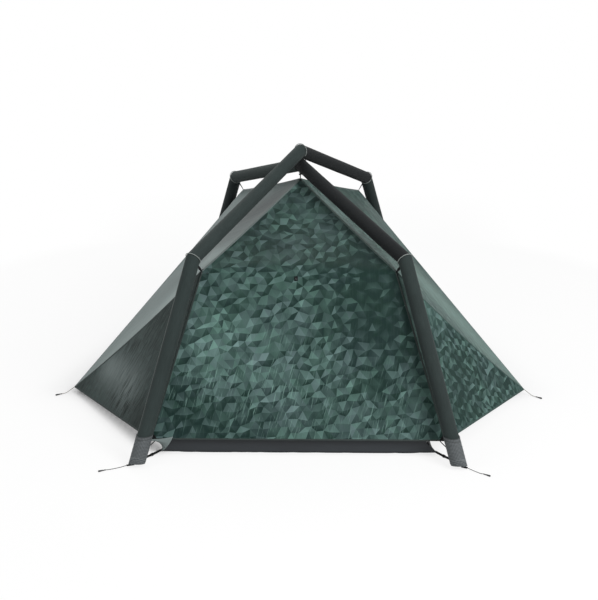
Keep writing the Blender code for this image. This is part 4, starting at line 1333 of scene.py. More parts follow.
class EndSheet(Cloth):
    # the front or rear end: a wall up to the fold and a triangle on to the peak
    def __init__(self, hem, corner):
        self.fold, peak = fly["frontFoldShare"], fly["peak"]
        sags = (0, fly["topRidgeSag"])
        ends = [twoPartEdge((mirrored(hem, s), mirrored(corner, s), peak), self.fold, sags) for s in (-1, 1)]
        self.surface = foldedSheet(*ends, self.fold, fly["frontFoldSag"])
        self.low, self.mid = hem.x, corner.x
        self.wall, self.top = (hem - corner).yz.length, (peak - corner).yz.length
        corners = [(-self.low, 0), (self.low, 0), (self.mid, self.wall)]
        self.outline = corners + [(0, self.wall + self.top), (-self.mid, self.wall)]

    def place(self, x, y):
        if y <= self.wall:
            share = y / self.wall
            half = self.low + (self.mid - self.low) * share
            up = self.fold * share
        else:
            share = min((y - self.wall) / self.top, 1)
            half = self.mid * (1 - share)
            up = self.fold + (1 - self.fold) * share
        across = 0.5 + x / (2 * half) if half > 1e-6 else 0.5
        return self.surface(within(across), within(up))


class RoofSheet(Cloth):
    # from the side corner up to the fold between the two shoulders and on to the peak
    def __init__(self, side):
        front, rear, low = (mirrored(fly[k], side) for k in ("frontCorner", "rearCorner", "sideCorner"))
        self.fold, peak, top = fly["roofFoldShare"], fly["peak"], fly["topRidgeSag"]
        near = twoPartEdge((low, front, peak), self.fold, (fly["frontRidgeSag"], top))
        far = twoPartEdge((low, rear, peak), self.fold, (0, top))
        self.surface = foldedSheet(near, far, self.fold, fly["roofFoldSag"])
        self.front, self.rear = Vector((0, 0)), Vector(((rear - front).length, 0))
        self.low, self.peak = layFlat(front, rear, low, -1), layFlat(front, rear, peak)
        self.outline = [tuple(p) for p in (self.low, self.rear, self.peak, self.front)]

    def place(self, x, y):
        tip = self.low if y < 0 else self.peak
        tipShare, frontShare, rearShare = weights(Vector((x, y)), tip, self.front, self.rear)
        across = within(rearShare / max(frontShare + rearShare, 1e-6))
        tipShare = within(tipShare)
        up = self.fold * (1 - tipShare) if y < 0 else self.fold + (1 - self.fold) * tipShare
        return self.surface(across, up)


class SideSheet(Cloth):
    # four corners (or three, with the last two the same): low near, low far, top far, top near
    def __init__(self, near, far, topFar, topNear, sag=0.0):
        self.corners, self.sag = (near, far, topFar, topNear), sag
        low = [Vector((0, 0)), Vector(((far - near).length, 0))]
        self.flat = low + [layFlat(near, far, top) for top in (topFar, topNear)]
        self.outline = [tuple(p) for p in (self.flat[:3] if topFar == topNear else self.flat)]

    def surface(self, across, up):
        near, far, topFar, topNear = self.corners
        return sagged(near, topNear, up, self.sag).lerp(far.lerp(topFar, up), across)

    def place(self, x, y):
        near, far, topFar, topNear = self.flat
        if topFar == topNear:
            topShare, nearShare, farShare = weights(Vector((x, y)), topNear, near, far)
            up = within(topShare)
            across = farShare / max(nearShare + farShare, 1e-6)
        else:
            up = within(y / max((topFar.y + topNear.y) / 2, 1e-6))
            for _ in range(6):  # the row on which the point lies
                left, right = near.lerp(topNear, up), far.lerp(topFar, up)
                across = (x - left.x) / max(right.x - left.x, 1e-6)
                away = y - left.lerp(right, across).y
                up = within(up + away / max(topNear.y, 1e-6))
        return self.surface(within(across), up)


def facetPoints(outline, chance, seed, stretch):
    # jittered points of a turned triangle lattice, each with its rise in a made-up relief
    facet = fly["facet"]
    w, h, jitter, spread = (facet[k] for k in ("width", "height", "jitter", "spread"))
    (lowX, lowY), (highX, highY) = np.min(outline, axis=0), np.max(outline, axis=0)
    turn = facet["turn"] + seed
    middle = Vector(((lowX + highX) / 2, (lowY + highY) / 2))
    reach = round(0.6 * math.hypot(highX - lowX, highY - lowY) / h / min(stretch[:2])) + 3
    points, relief = [], []
    for row in range(-reach, reach):
        for column in range(-reach, reach):
            x = (column + (row % 2) / 2 + chance.uniform(-1, 1) * jitter) * w
            y = (row + chance.uniform(-1, 1) * jitter) * h
            peak = (column - row // 2 - row) % 3 == 0
            rise = (facet["rise"] if peak else 0) + chance.uniform(-spread, spread)
            x, y = x * math.cos(turn) - y * math.sin(turn), x * math.sin(turn) + y * math.cos(turn)
            x, y = middle.x + x * stretch[0], middle.y + y * stretch[1]
            y += (stretch[3] - 1) * max(y - stretch[2], 0)  # taller facets over the fold
            x += 0.5 * w * noise.noise(Vector((x * 6, y * 6, seed)))
            y += 0.5 * w * noise.noise(Vector((x * 6, y * 6, seed + 9)))
            if lowX - 2 * w < x < highX + 2 * w and lowY - 2 * w < y < highY + 2 * w:
                points.append(Vector((x, y)))
                relief.append(rise)
    return points, relief


def patchShare(x, y, patches):
    share = 0 * x
    for atX, atY, size, gain in patches:
        share = share + gain * np.exp(-((x - atX) ** 2 + (y - atY) ** 2) / size**2)
    return share


def facetPrint(outline, seed, lights, stretch):
    # the points joined into triangles, with a tone and a tint for each; the tone carries painted light and shade where
    # lights are given
    chance = random.Random(seed)
    points, relief = facetPoints(outline, chance, seed, stretch)
    facet, look = fly["facet"], fly["tone"]
    verts, _, faces, *_ = geometry.delaunay_2d_cdt(points, [], [], 0, 1e-7, True)
    tones = []
    for face in faces:
        a, b, c = (Vector((*verts[i], relief[i] * facet["width"] if i < len(relief) else 0)) for i in face)
        normal = (b - a).cross(c - a).normalized()
        if normal.z < 0:
            normal = -normal
        x, y, _ = (a + b + c) / 3
        # painted light and shade over the print, from the lights
        glow = patchShare(x, y, lights)
        tone = look["middle"] + look["relief"] * normal.dot(Vector((-0.5, 0.8, 0))) + glow
        tone += look["cluster"] * noise.noise(Vector((x * 7, y * 6, seed * 3.1)))
        tone += chance.uniform(-look["spread"], look["spread"])
        tint = 0.5 + 0.5 * noise.noise(Vector((x * 9, y * 9, seed + 40.5)))
        tint += chance.uniform(-look["tints"], look["tints"])
        tones.append((within(tone, 0.02) ** look["curve"], within(tint)))
    crests = {spotKey(v): within(rise / facet["rise"]) for v, rise in zip(verts, relief)}
    return verts, faces, tones, crests


def spotKey(point):
    return round(point.x, 6), round(point.y, 6)


def insideOutline(x, y, outline):
    inside = False
    for (x0, y0), (x1, y1) in zip(outline, outline[1:] + outline[:1]):
        if (y0 > y) != (y1 > y) and x < (x1 - x0) * (y - y0) / (y1 - y0) + x0:
            inside = not inside
    return inside


def clothShape(outline, seed, lights, stretch):
    # the outline cut along the print's triangles, each with its tone
    verts, faces, tones, crests = facetPrint(outline, seed, lights, stretch)
    edges = {tuple(sorted((f[i], f[i - 1]))) for f in faces for i in range(3)}
    corner, count = len(verts), len(outline)
    edges |= {(corner + i, corner + (i + 1) % count) for i in range(count)}
    coords = verts + [Vector(p) for p in outline]
    cut, _, cells, *_ = geometry.delaunay_2d_cdt(coords, list(edges), [], 0, 1e-6, True)
    tree = BVHTree.FromPolygons([(v.x, v.y, 0) for v in verts], faces)
    whole = bmesh.new()
    tone, tint = (whole.faces.layers.float.new(name) for name in ("tone", "tint"))
    crest = whole.verts.layers.float.new("crest")
    points = [whole.verts.new((v.x, v.y, 0)) for v in cut]
    for point in points:
        point[crest] = crests.get(spotKey(point.co), 0.4)
    for cell in cells:
        a, b, c = (cut[i] for i in cell)
        middle = (a + b + c) / 3
        if insideOutline(*middle, outline) and abs((b - a).cross(c - a)) >= 1e-9:
            face = whole.faces.new([points[i] for i in cell])
            face[tone], face[tint] = tones[tree.find_nearest(middle.to_3d())[2]]
    bmesh.ops.delete(whole, geom=[v for v in whole.verts if not v.link_faces], context="VERTS")
    refine(whole, fly["cell"])
    return whole


def refine(shape, size):
    for _ in range(6):
        long = [e for e in shape.edges if e.calc_length() > size]
        if not long:
            return
        bmesh.ops.subdivide_edges(shape, edges=long, cuts=1)
        bmesh.ops.triangulate(shape, faces=[f for f in shape.faces if len(f.verts) > 3])


def facing(shape, outward):
    shape.normal_update()
    total = sum((f.normal * f.calc_area() for f in shape.faces), Vector())
    if total.dot(outward) < 0:
        bmesh.ops.reverse_faces(shape, faces=shape.faces)
    return shape


def drape(shape, sheet, lift=0.0):
    # moves a flat mesh onto the cloth, with its outer side outwards
    uv = shape.loops.layers.uv.new("flat")
    for face in shape.faces:
        for loop in face.loops:
            loop[uv].uv = loop.vert.co.xy
    flat = np.array([v.co.xy for v in shape.verts])
    for vert in shape.verts:
        vert.co = sheet.place(*vert.co.xy)
    facing(shape, sheet.normal(*flat.mean(axis=0).tolist()))
    shape.normal_update()
    soft = smoothed(np.clip(edgeDistance(flat, sheet.outline) / fly["edgeReach"], 0, 1))
    for vert, (x, y), share in zip(shape.verts, flat.tolist(), soft.tolist()):
        vert.co += vert.normal * (lift + sheet.folds(x, y) * share)
    shape.normal_update()
    return flat


def makeCloth(name, key, look, seed, node, body="tent", lights=()):
    sheet = sheets[key]
    whole = clothShape(sheet.outline, seed, lights, flyLook[look]["facets"])
    area = sum(f.calc_area() for f in whole.faces)
    flat = drape(whole, sheet)
    mesh = plainMesh(whole, name)
    for finish in (look, "flyInside"):
        mesh.materials.append(finishes[finish])
    dark = 0.5 if look in ("front", "rear") else 0.2
    setValues(mesh, "edge", np.clip((0.004 - edgeDistance(flat, sheet.outline)) / 0.003, 0, 1) * dark)
    for kind in ("bloom", "shade", "pulled"):
        share = patchShare(*flat.T, fly["patches"].get(look, {}).get(kind, ()))
        setValues(mesh, kind, np.clip(share, 0, 1))
    piece = thicken(newPiece(name, mesh, body=body, replaces=(node,)), fly["thickness"], inner=True)
    return piece, tuple(np.ptp(flat, axis=0).tolist()), area


def declare(piece, size, area, held="stretched", pieces=()):
    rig.sheet(piece, flat=size, held=held, area=min(area, size[0] * size[1]), with_pieces=pieces)


def overlay(name, sheet, outline, finish, lift, size=0.012, body="tent"):
    # a patch, tape or hem that lies on the outside of a cloth
    shape = bmesh.new()
    face = shape.faces.new([shape.verts.new((x, y, 0)) for x, y in outline])
    bmesh.ops.triangulate(shape, faces=[face])
    refine(shape, size)
    drape(shape, sheet, lift)
    thicken(newPiece(name, plainMesh(shape, name), finish, body=body), trim["thickness"])


def ridged(x, y, seed):
    return 1 - abs(2 * noise.noise(Vector((x, y, seed))))


def frontFolds(x, y):
    low = math.exp(-max(y, 0) / 0.42)
    lean = 0.10 * x + 0.42 * within((x + 0.05) / 0.6)
    across = x + lean * y
    pull = ridged(across * 26, y * 2.2, 3.3) ** 3 * low * 0.0032
    fan = ridged(across * 44, y * 3.0, 8.1) ** 4 * low * 0.0018
    wide = noise.noise(Vector((x * 3.1, y * 2.6, 5.5))) * 0.006
    return pull + fan + wide


def sideFolds(x, y):
    pull = ridged(x * 30, y * 2.0, 14.3) ** 3 * 0.002 * math.exp(-max(y, 0) / 0.3)
    return pull + noise.noise(Vector((x * 3, y * 3, 9.5))) * 0.004


def roofFolds(x, y):
    return noise.noise(Vector((x * 2.4, y * 2.6, 21.5))) * 0.006 + ridged(x * 9, y * 9, 2.2) ** 3 * 0.0012


def buildSheets():
    sheets = {
        "front": EndSheet(fly["frontHem"], fly["frontCorner"]).settle(Vector((0, -1, 1)), frontFolds),
        "rear": EndSheet(fly["rearHem"], fly["rearCorner"]).settle(Vector((0, 1, 1)), sideFolds),
    }
    keys = ("sideCorner", "frontHem", "frontCorner", "rearHem", "rearCorner", "doorTop", "doorFoot")
    for place, side in bothSides:
        low, foot, corner, hem, rear, top, zipFoot = (mirrored(fly[k], side) for k in keys)
        ahead, behind = Vector((side, -1, 0)), Vector((side, 1, 0))
        front = SideSheet(low, foot, corner, corner, fly["frontRidgeSag"])
        sheets["roof" + place] = RoofSheet(side).settle(Vector((side, 0, 1)), roofFolds)
        sheets["side" + place] = front.settle(ahead, sideFolds)
        sheets["door" + place] = SideSheet(low, zipFoot, top, top).settle(behind, sideFolds)
        sheets["strip" + place] = SideSheet(zipFoot, hem, rear, top).settle(behind)
    return sheets


sheets = buildSheets()


def makeFly():
    declare(*makeCloth("flyFrontSheet", "front", "front", 5, "fly_front", lights=fly["frontLights"]))
    strips = []
    for place, side in bothSides:
        lower = place.lower()
        kinds = (
            ("Roof", 11, f"fly_roof_{lower}", "tent"),
            ("Side", 21, f"fly_front_side_{lower}", "tent"),
            ("Door", 31, f"fly_door_{lower}", f"{lower}_fly_door"),
        )
        for kind, seed, node, body in kinds:
            key = kind.lower() + place
            declare(*makeCloth(f"fly{kind}{place}Sheet", key, key, seed + side, node, body))
        strips.append(makeCloth(f"flyStrip{place}Sheet", f"strip{place}", "rear", 41 + side, "fly_rear")[0])
    declare(*makeCloth("flyRearSheet", "rear", "rear", 8, "fly_rear"), pieces=strips)


makeFly()
say("fly sheet")


# hems, seam bindings, patches and their stitches

trim = {
    "hem": 0.007,
    "sideHem": 0.009,
    "seam": 0.0085,
    "ridge": 0.006,
    "row": 0.0028,
    "rowEnd": 0.004,  # share of a row that stays free at its ends
    "spacing": 0.02,
    "slant": 0.35,
    "stitch": (0.0007, 0.0007, 0.0031),
    "pitch": 0.0046,
    "lift": 0.0005,
    "stitchLift": 0.0008,
    "thickness": 0.0006,
    "patchLift": 0.0010,
    "patchCell": 0.006,
    "peakPatch": [(-0.0085, 0.026), (0.0085, 0.026), (0.0004, 0.0016), (-0.0004, 0.0016)],
    "cornerPatch": (0.030, 0.022, 0.005),  # down the wall, along the ridge and its bulge
    "hemPatch": (0.032, 0.034, 0.004),  # up the wall, along the hem and its bulge
}


def edgeBand(outline, first, width):
    # the flat band just inside one edge of a cut
    a, b = (Vector(outline[k % len(outline)]) for k in (first, first + 1))
    run = (b - a).normalized()
    inward, slant = Vector((-run.y, run.x)) * width, run * width * trim["slant"]
    return [a, b, b + inward - slant, a + inward + slant]


def bind(name, key, edge, width, finish, rows, stitches):
    # a band along one edge, and its stitch rows at these distances from the edge
    sheet = sheets[key]
    body = f"{key[4:].lower()}_fly_door" if key.startswith("door") else "tent"
    a, b, c, d = edgeBand(sheet.outline, edge, width)
    overlay(name, sheet, (a, b, c, d), finish, trim["lift"], body=body)
    for row in rows:
        start, end = a.lerp(d, row / width), b.lerp(c, row / width)
        start, end = start.lerp(end, trim["rowEnd"]), end.lerp(start, trim["rowEnd"])
        count = max(2, round((end - start).length / trim["spacing"]))
        stitches[body].append([sheet.at(*p, trim["stitchLift"]) for p in between(start, end, count)])


def trimFinish(key):
    # each side panel's tape carries that panel's painted light and shade; other sheets take the binding
    tape = "tape" + key[0].upper() + key[1:]
    return tape if tape in finishes else "binding"


def makeTrim():
    stitches = {"tent": [], "left_fly_door": [], "right_fly_door": []}
    row = trim["row"]
    sideKeys = [kind + place for kind in ("side", "door", "strip") for place, _ in bothSides]
    for key in ["front", "rear"] + sideKeys:
        width = trim["sideHem" if key.startswith("side") else "hem"]
        bind(key + "Hem", key, 0, width, trimFinish(key), (row, width - row), stitches)
    seams = [("front", 1), ("front", 2), ("front", 3), ("front", 4), ("rear", 2), ("rear", 3)]
    for place, _ in bothSides:
        seams += [("roof" + place, 0), ("roof" + place, 3), ("side" + place, 2)]
    tapes = {("front", 2): "tapeRoofRight", ("front", 3): "tapeRoofLeft"}
    for key, edge in seams:
        wide = key in ("front", "rear")
        width = trim["seam" if wide else "ridge"]
        rows = (row, width - 0.002) if wide else (width * 0.6,)
        finish = tapes.get((key, edge), trimFinish(key))
        bind(f"{key}Seam{edge}", key, edge, width, finish, rows, stitches)
    for body, lines in stitches.items():
        name = "stitches" + "".join(word.capitalize() for word in body.split("_"))
        alongLines(name, lines, trim["pitch"], trim["stitch"], "thread", body)


def makePatches(key):
    sheet = sheets[key]

    def patch(name, outline):
        overlay(key + name, sheet, outline, "webbing", trim["patchLift"], trim["patchCell"])

    def cornerPatch(name, corner, first, second, bulge):
        middle = (first + second) / 2
        patch(name, (corner, first, middle + (middle - corner).normalized() * bulge, second))

    top = sheet.wall + sheet.top
    peak = Vector((0, top))
    patch("PeakPatch", [(x, top - drop) for x, drop in trim["peakPatch"]])
    (wall, ridge, bulge), (side, hem, hemBulge) = trim["cornerPatch"], trim["hemPatch"]
    for sign in (-1, 1):
        corner, low = Vector((sign * sheet.mid, sheet.wall)), Vector((sign * sheet.low, 0))
        down = (low - corner).normalized()
        along = (peak - corner).normalized()
        cornerPatch(f"CornerPatch{sign + 1}", corner, corner + down * wall, corner + along * ridge, bulge)
        inward = Vector((-sign * hem, 0))
        cornerPatch(f"HemPatch{sign + 1}", low, low - down * side, low + inward, hemBulge)


makeTrim()
makePatches("front")
makePatches("rear")
say("hems, seams and stitches")


# the tub

tub = {
    "insetX": 0.058,
    "insetY": 0.014,
    "lean": 0.011,
    "height": 0.100,
    "halfDepth": 1.131,
    "lift": 0.0007,
    "cornerLift": 0.004,
    "cornerPull": 0.014,
    "pullReach": 0.045,
    "cornerTuck": 0.034,
    "cornerReach": 0.075,
    "ripple": 0.0016,
    "bulge": -0.0024,
    "wave": 0.003,
    "lipIn": 0.002,
    "wall": 0.0012,
    "binding": 0.0016,
    "columns": 90,
    "rows": 120,
    "wallRows": 9,
}


def tubCorner(hem, top):
    lean = tub["lean"] if top else 0
    back = 1 if hem.y < 0 else -1
    place = (hem.x - tub["insetX"] - lean, hem.y + back * (tub["insetY"] + lean), tub["height"] if top else 0)
    return Vector(place)


def tubPoint(across, along, up):
    # across and along run -1..1 over the floor; up is the share of the wall
    front, rear = (tubCorner(fly[hem], False) for hem in ("frontHem", "rearHem"))
    low = front.lerp(rear, (along + 1) / 2)
    high = tubCorner(fly["frontHem"], True).lerp(tubCorner(fly["rearHem"], True), (along + 1) / 2)
    at = low.lerp(high, up)
    place = Vector((at.x * across, at.y, tub["lift"]))
    away = math.hypot((1 - abs(across)) * low.x, (1 - abs(along)) * tub["halfDepth"])
    pull = math.exp(-((away / tub["cornerReach"]) ** 2))
    ripple = tub["ripple"] * ridged(place.x * 9, place.y * 9, 7.7) ** 3
    place.z += at.z * 0.993 + tub["cornerLift"] * pull * (1 - up) + (ripple if up == 0 else 0)
    near = math.exp(-((away / tub["pullReach"]) ** 2))  # the straps pull the corners out along the floor
    place.x += math.copysign(tub["cornerPull"] * near * (1 - up), across)
    if up > 0:
        bulge = tub["bulge"] * math.sin(math.pi * up) * (1 - pull)
        wave = noise.noise(Vector((place.x * 14, place.y * 14, up * 2))) * tub["wave"] * up * (1 - pull)
        push = bulge + wave - tub["lipIn"] * up
        if abs(across) == 1:
            place.x += push * across
        place.x -= math.copysign(tub["cornerTuck"] * near * min(up * 2, 1), across)
        if abs(along) == 1:
            place.y += push * along
    return place


def crowded(count):
    # shares -1..1, closer together towards the ends
    return [math.sin(math.pi / 2 * share) for share in even(count, -1)]


def makeTub():
    columns, rows = crowded(tub["columns"]), crowded(tub["rows"])
    shape = gridShape(columns, rows, lambda a, b: tubPoint(a, b, 0), flat=False)
    last, end = len(rows) - 1, len(columns) - 1
    loop = [(i, 0) for i in range(end)] + [(end, j) for j in range(last)]
    loop += [(i, last) for i in range(end, 0, -1)] + [(0, j) for j in range(last, 0, -1)]
    shape.verts.ensure_lookup_table()
    rings = [[shape.verts[j * len(columns) + i] for i, j in loop]]
    for up in even(tub["wallRows"])[1:]:
        rings.append([shape.verts.new(tubPoint(columns[i], rows[j], up)) for i, j in loop])
    joinRings(shape, rings)
    rim = [vert.co.copy() for vert in rings[-1]]
    # every face looks outwards: the floor down, the walls out
    shape.normal_update()
    for face in shape.faces:
        middle = face.calc_center_median()
        outward = Vector((middle.x, middle.y, 0)) if abs(face.normal.z) < 0.6 else -upwards
        if face.normal.dot(outward) < 0:
            face.normal_flip()
    piece = newPiece("tubFloor", plainMesh(shape, "tub"), "tub", replaces=("floor_tub",))
    thicken(piece, tub["wall"])
    binding = lineCurve("tubBinding", rim[::2], tub["binding"], "binding", cyclic=True, resolution=1)
    front, rear = tubCorner(fly["frontHem"], False), tubCorner(fly["rearHem"], False)
    width, depth, height = front.x + rear.x, rear.y - front.y, tub["height"]
    area = width * depth + 2 * height * (width + depth)
    declare(piece, (2 * (front.x + height), depth + 2 * height), area, "laid", [binding])


gusset = {
    "start": (0.008, 0.002),
    "hemReach": 0.100,
    "rise": 0.012,
    "drop": 0.014,
    "bend": 0.62,
    "lift": 0.005,
    "bulge": (0.006, -0.008),
    "pullShare": 0.4,
    "foot": (-0.004, 0.003),
    "columns": 14,
    "rows": 8,
    "thickness": 0.0006,
}


def makeGusset():
    # a small piece of thin cloth from the left hem corner to the tub's corner, the one that the photo shows
    sheet, lift, drop = sheets["front"], gusset["lift"], Vector((0, 0, gusset["drop"]))
    hem = Vector(min(sheet.outline, key=sum)) + Vector(gusset["start"])
    shift = Vector((-tub["cornerPull"] * gusset["pullShare"], *gusset["foot"]))
    low = mirrored(tubCorner(fly["frontHem"], False), -1) + shift
    reach, (bulgeX, bulgeY) = gusset["hemReach"], gusset["bulge"]
    bend = sheet.at(hem.x + reach * gusset["bend"], hem.y, lift) - drop
    start = sheet.at(*hem, lift) - drop * 0.5

    def place(along, down):
        upper = sheet.at(hem.x + reach * along, hem.y + gusset["rise"] * along**2, lift)
        lower = start * (1 - along) ** 2 + bend * 2 * along * (1 - along) + low * along**2
        return upper.lerp(lower, down) + Vector((bulgeX * along, bulgeY, 0)) * math.sin(math.pi * down)

    shape = facing(gridShape(even(gusset["columns"]), even(gusset["rows"]), place), Vector((0, -1, 0)))
    thicken(newPiece("frontLeftGusset", plainMesh(shape, "wall"), "gusset"), gusset["thickness"], offset=0)


makeTub()
makeGusset()
say("tub")


# the inner tent

inner = {
    "topX": 0.080,
    "topY": 0.070,
    "drop": 0.092,
    "crown": 0.165,
    "gap": 0.0008,
    "thickness": 0.0008,
    "wallShare": 3 / 16,  # of the canopy's length, at each end
    "doorAlong": (0.24, 0.72),
    "doorUp": (0.09, 0.80),
    "doorGap": 0.0008,
    "slack": 0.010,
    "bumps": 0.006,
    "creases": 0.003,
    "seam": 0.0012,
    "coil": 0.0011,
}


def innerTop(corner):
    back = 1 if corner.y < 0 else -1
    return Vector((corner.x - inner["topX"], corner.y + back * inner["topY"], corner.z - inner["drop"]))


def wallCorner(end, up):
    low = tubCorner(fly[end + "Hem"], True)
    low.z += inner["gap"]
    return low.lerp(innerTop(fly[end + "Corner"]), up)


def canopyPoint(across, up):
    # the inner tent's front wall, ceiling and rear wall in one length
    wall = inner["wallShare"]
    belly = math.sin(math.pi * across)
    rise = slack = 0
    if up <= wall or up >= 1 - wall:
        end, sign, share = ("front", 1, up / wall) if up <= wall else ("rear", -1, (1 - up) / wall)
        right = wallCorner(end, share)
        slack = sign * math.sin(math.pi * share) * belly * inner["slack"]
    else:
        share = (up - wall) / (1 - 2 * wall)
        right = innerTop(fly["frontCorner"]).lerp(innerTop(fly["rearCorner"]), share)
        rise = inner["crown"] * math.sin(math.pi * share) * belly
    half = right.x - inner["gap"]
    point = Vector((half * (2 * across - 1), right.y + slack, right.z + rise))
    edge = min(16 * across * (1 - across) * up * (1 - up), 1)
    if rise:
        point.z += noise.noise(point * 3.0) * inner["bumps"] * edge
    else:
        point.y += ridged(point.x * 12, point.z * 2, 4.4) ** 3 * inner["creases"] * edge
    return point


def insetPoint(surface, across, up, inset):
    height = (surface(across, 1) - surface(across, 0)).length
    edge = min(inset / max(height, inset), 0.5)
    up = edge + up * (1 - 2 * edge)
    width = (surface(1, up) - surface(0, up)).length
    edge = min(inset / max(width, inset), 0.5)
    return surface(edge + across * (1 - 2 * edge), up)


def innerPanel(name, shape, outward, size, held, node, body="tent"):
    mesh = plainMesh(facing(shape, outward), name)
    piece = thicken(newPiece(name, mesh, "inner", body=body, replaces=(node,)), inner["thickness"], offset=0)
    declare(piece, size, sum(f.area for f in mesh.polygons), held)


def spanOf(surface):
    low = surface(0, 0)
    return (surface(1, 0) - low).length, (surface(0, 1) - low).length


def makeInnerSide(place, side):
    (first, last), (sill, head) = inner["doorAlong"], inner["doorUp"]
    outward, lower = Vector((side, 0, 0)), place.lower()

    def whole(along, up):
        return mirrored(wallCorner("front", up).lerp(wallCorner("rear", up), along), side)

    def wall(along, up):
        return insetPoint(whole, along, up, inner["gap"])

    def door(along, up):
        return wall(first + along * (last - first), sill + up * (head - sill))

    stations = even(10, 0, first) + even(24, first, last)[1:] + even(12, last, 1)[1:]
    levels = even(4, 0, sill) + even(24, sill, head)[1:] + even(8, head, 1)[1:]
    shape = gridShape(stations, levels, wall)
    low, high = wall(first, sill), wall(last, head)
    middles = [(face, face.calc_center_median()) for face in shape.faces]
    gone = [face for face, at in middles if low.y < at.y < high.y and low.z < at.z < high.z]
    bmesh.ops.delete(shape, geom=gone, context="FACES")
    innerPanel(f"innerSide{place}", shape, outward, spanOf(wall), "stretched", f"inner_side_{lower}")
    leaf = gridShape(even(36), even(30), lambda a, b: insetPoint(door, a, b, inner["doorGap"]))
    body = f"{lower}_inner_door"
    innerPanel(f"innerDoor{place}", leaf, outward, spanOf(door), "hung", f"inner_door_{lower}", body)
    edge = [door(a, 0.004) for a in even(30, 0.004, 0.996)] + [door(0.996, b) for b in even(30, 0.01, 0.996)]
    edge += [door(a, 0.996) for a in even(30, 0.99, 0.004)]
    edge = [p + outward * 0.0012 for p in edge]
    lineCurve(f"innerDoorCoil{place}", edge, inner["coil"], "innerTape", resolution=1, body=body)


def makeCanopy():
    width = 2 * (tubCorner(fly["frontHem"], True).x - inner["gap"])
    size = (width, lengthOf([canopyPoint(0.5, up) for up in even(200)]))
    shape = gridShape(even(40), even(96), canopyPoint)
    innerPanel("innerCanopy", shape, upwards, size, "stretched", "inner_canopy")
    for count, up in enumerate((inner["wallShare"], 1 - inner["wallShare"])):
        seam = [canopyPoint(a, up) + upwards * 0.001 for a in even(40)]
        lineCurve(f"innerSeam{count}", seam, inner["seam"], "innerTape", resolution=1)


makeCanopy()
for place, side in bothSides:
    makeInnerSide(place, side)
say("inner tent")


# straps

straps = {
    "gap": 0.0003,  # left free before a tube
    "start": 0.0006,
    "thickness": 0.0014,
    "front": {"width": 0.009, "bow": 0.001},
    "rear": {"width": 0.0032, "thickness": 0.0016, "spread": 0.011},
    "floor": {"width": 0.0105, "height": 0.016, "bow": 0.0018, "below": 0.012, "drop": 0.006},
    "peak": {"strap": (0.0055, 0.0016), "loop": (0.008, 0.002), "middle": 0.62, "foot": 0.0012,
             "clear": 0.0052},
    "ring": {"wire": 0.0011, "radius": 0.0068, "up": 0.0055, "back": 0.0012, "twist": 0.001, "sides": 28},
    "toggle": [(0, 0.0085), (0.0022, 0.0082), (0.0031, 0.0068), (0.0031, 0.0042), (0.0022, 0.002)],
    "toggleSides": 18,
    "hemCords": ((0.006, 0.030), (0.030, 0.018)),  # how far inwards and up the boot each one lies
    "hemCord": {"radius": 0.0021, "bow": 0.002, "start": 0.0012, "gap": 0.0006, "lift": 0.0002},
    "buckle": {"front": 0.0105, "floor": 0.0125, "lift": 0.0022, "bar": 0.0026, "long": 1.25, "bevel": 45e-5},
}
frontwards = Vector((0, -1, 0))


def makeBuckle(name, centre, along, outward, width):
    # a small ladder buckle: two rails and three bars, rounded; x looks out, y runs across, z along
    look = straps["buckle"]
    centre = centre + outward * look["lift"]
    length, thick = width * look["long"], look["bar"]
    shape = bmesh.new()
    for sign in (-1, 1):
        addBox(shape, (0, sign * width / 2, 0), (thick, 0.0018, length))
    for z, x in ((-0.92, 0), (0, 0.0004), (0.92, 0)):
        addBox(shape, (x, 0, z * length / 2), (thick * 0.8, width, 0.0016))
    bevel = {"offset": look["bevel"], "segments": 2, "affect": "EDGES", "profile": 0.6}
    bmesh.ops.bevel(shape, geom=list(shape.edges), **bevel)
    bmesh.ops.transform(shape, matrix=frameAlong(centre, along, outward), verts=shape.verts)
    newPiece(name, outwardMesh(shape, name), "plastic", slot="plastic")


def reachToTube(start, run, axisPoint, axis, radius):
    far, reach = (axisPoint - start).length, 0
    while reach < far:
        offset = start + run * reach - axisPoint
        if (offset - axis * offset.dot(axis)).length < radius:
            return reach
        reach += 0.0001
    return far


def reachToElbow(start, run, arch, joint):
    ways = (arch.along(joint - 1), arch.along(joint))
    return min(reachToTube(start, run, arch.joints[joint], way, arches["tubeRadius"]) for way in ways)


def bowed(start, end, count, bow):
    return [start.lerp(end, share) + bow * math.sin(math.pi * share) for share in even(count)]


def makeShoulderStrap(title, arch, joint, corner):
    run = (arch.joints[joint] - corner).normalized()
    start, gap = corner + run * straps["start"], straps["gap"]
    end = corner + run * (reachToElbow(corner, run, arch, joint) - gap)
    look, node = straps["front" if joint == 1 else "rear"], nodeName(title) + "_shoulder_strap"
    if joint == 1:
        points = bowed(start, end, 8, frontwards * look["bow"])
        strip(f"{title}Strap", points, look["width"], straps["thickness"], frontwards, replaces=(node,))
        makeBuckle(f"{title}StrapBuckle", start.lerp(end, 0.5), run, frontwards, straps["buckle"]["front"])
        return
    # two narrow tapes from one eye, up to the tube on both sides of the elbow
    for count, spread in enumerate((-look["spread"], look["spread"])):
        run = (end + Vector((0, spread, 0)) - start).normalized()
        top = start + run * (reachToElbow(start, run, arch, joint) - gap)
        form = (look["width"], look["thickness"], Vector((0, -1, 0.2)))
        strip(f"{title}Strap{count}", between(start, top, 6), *form, replaces=(node,))


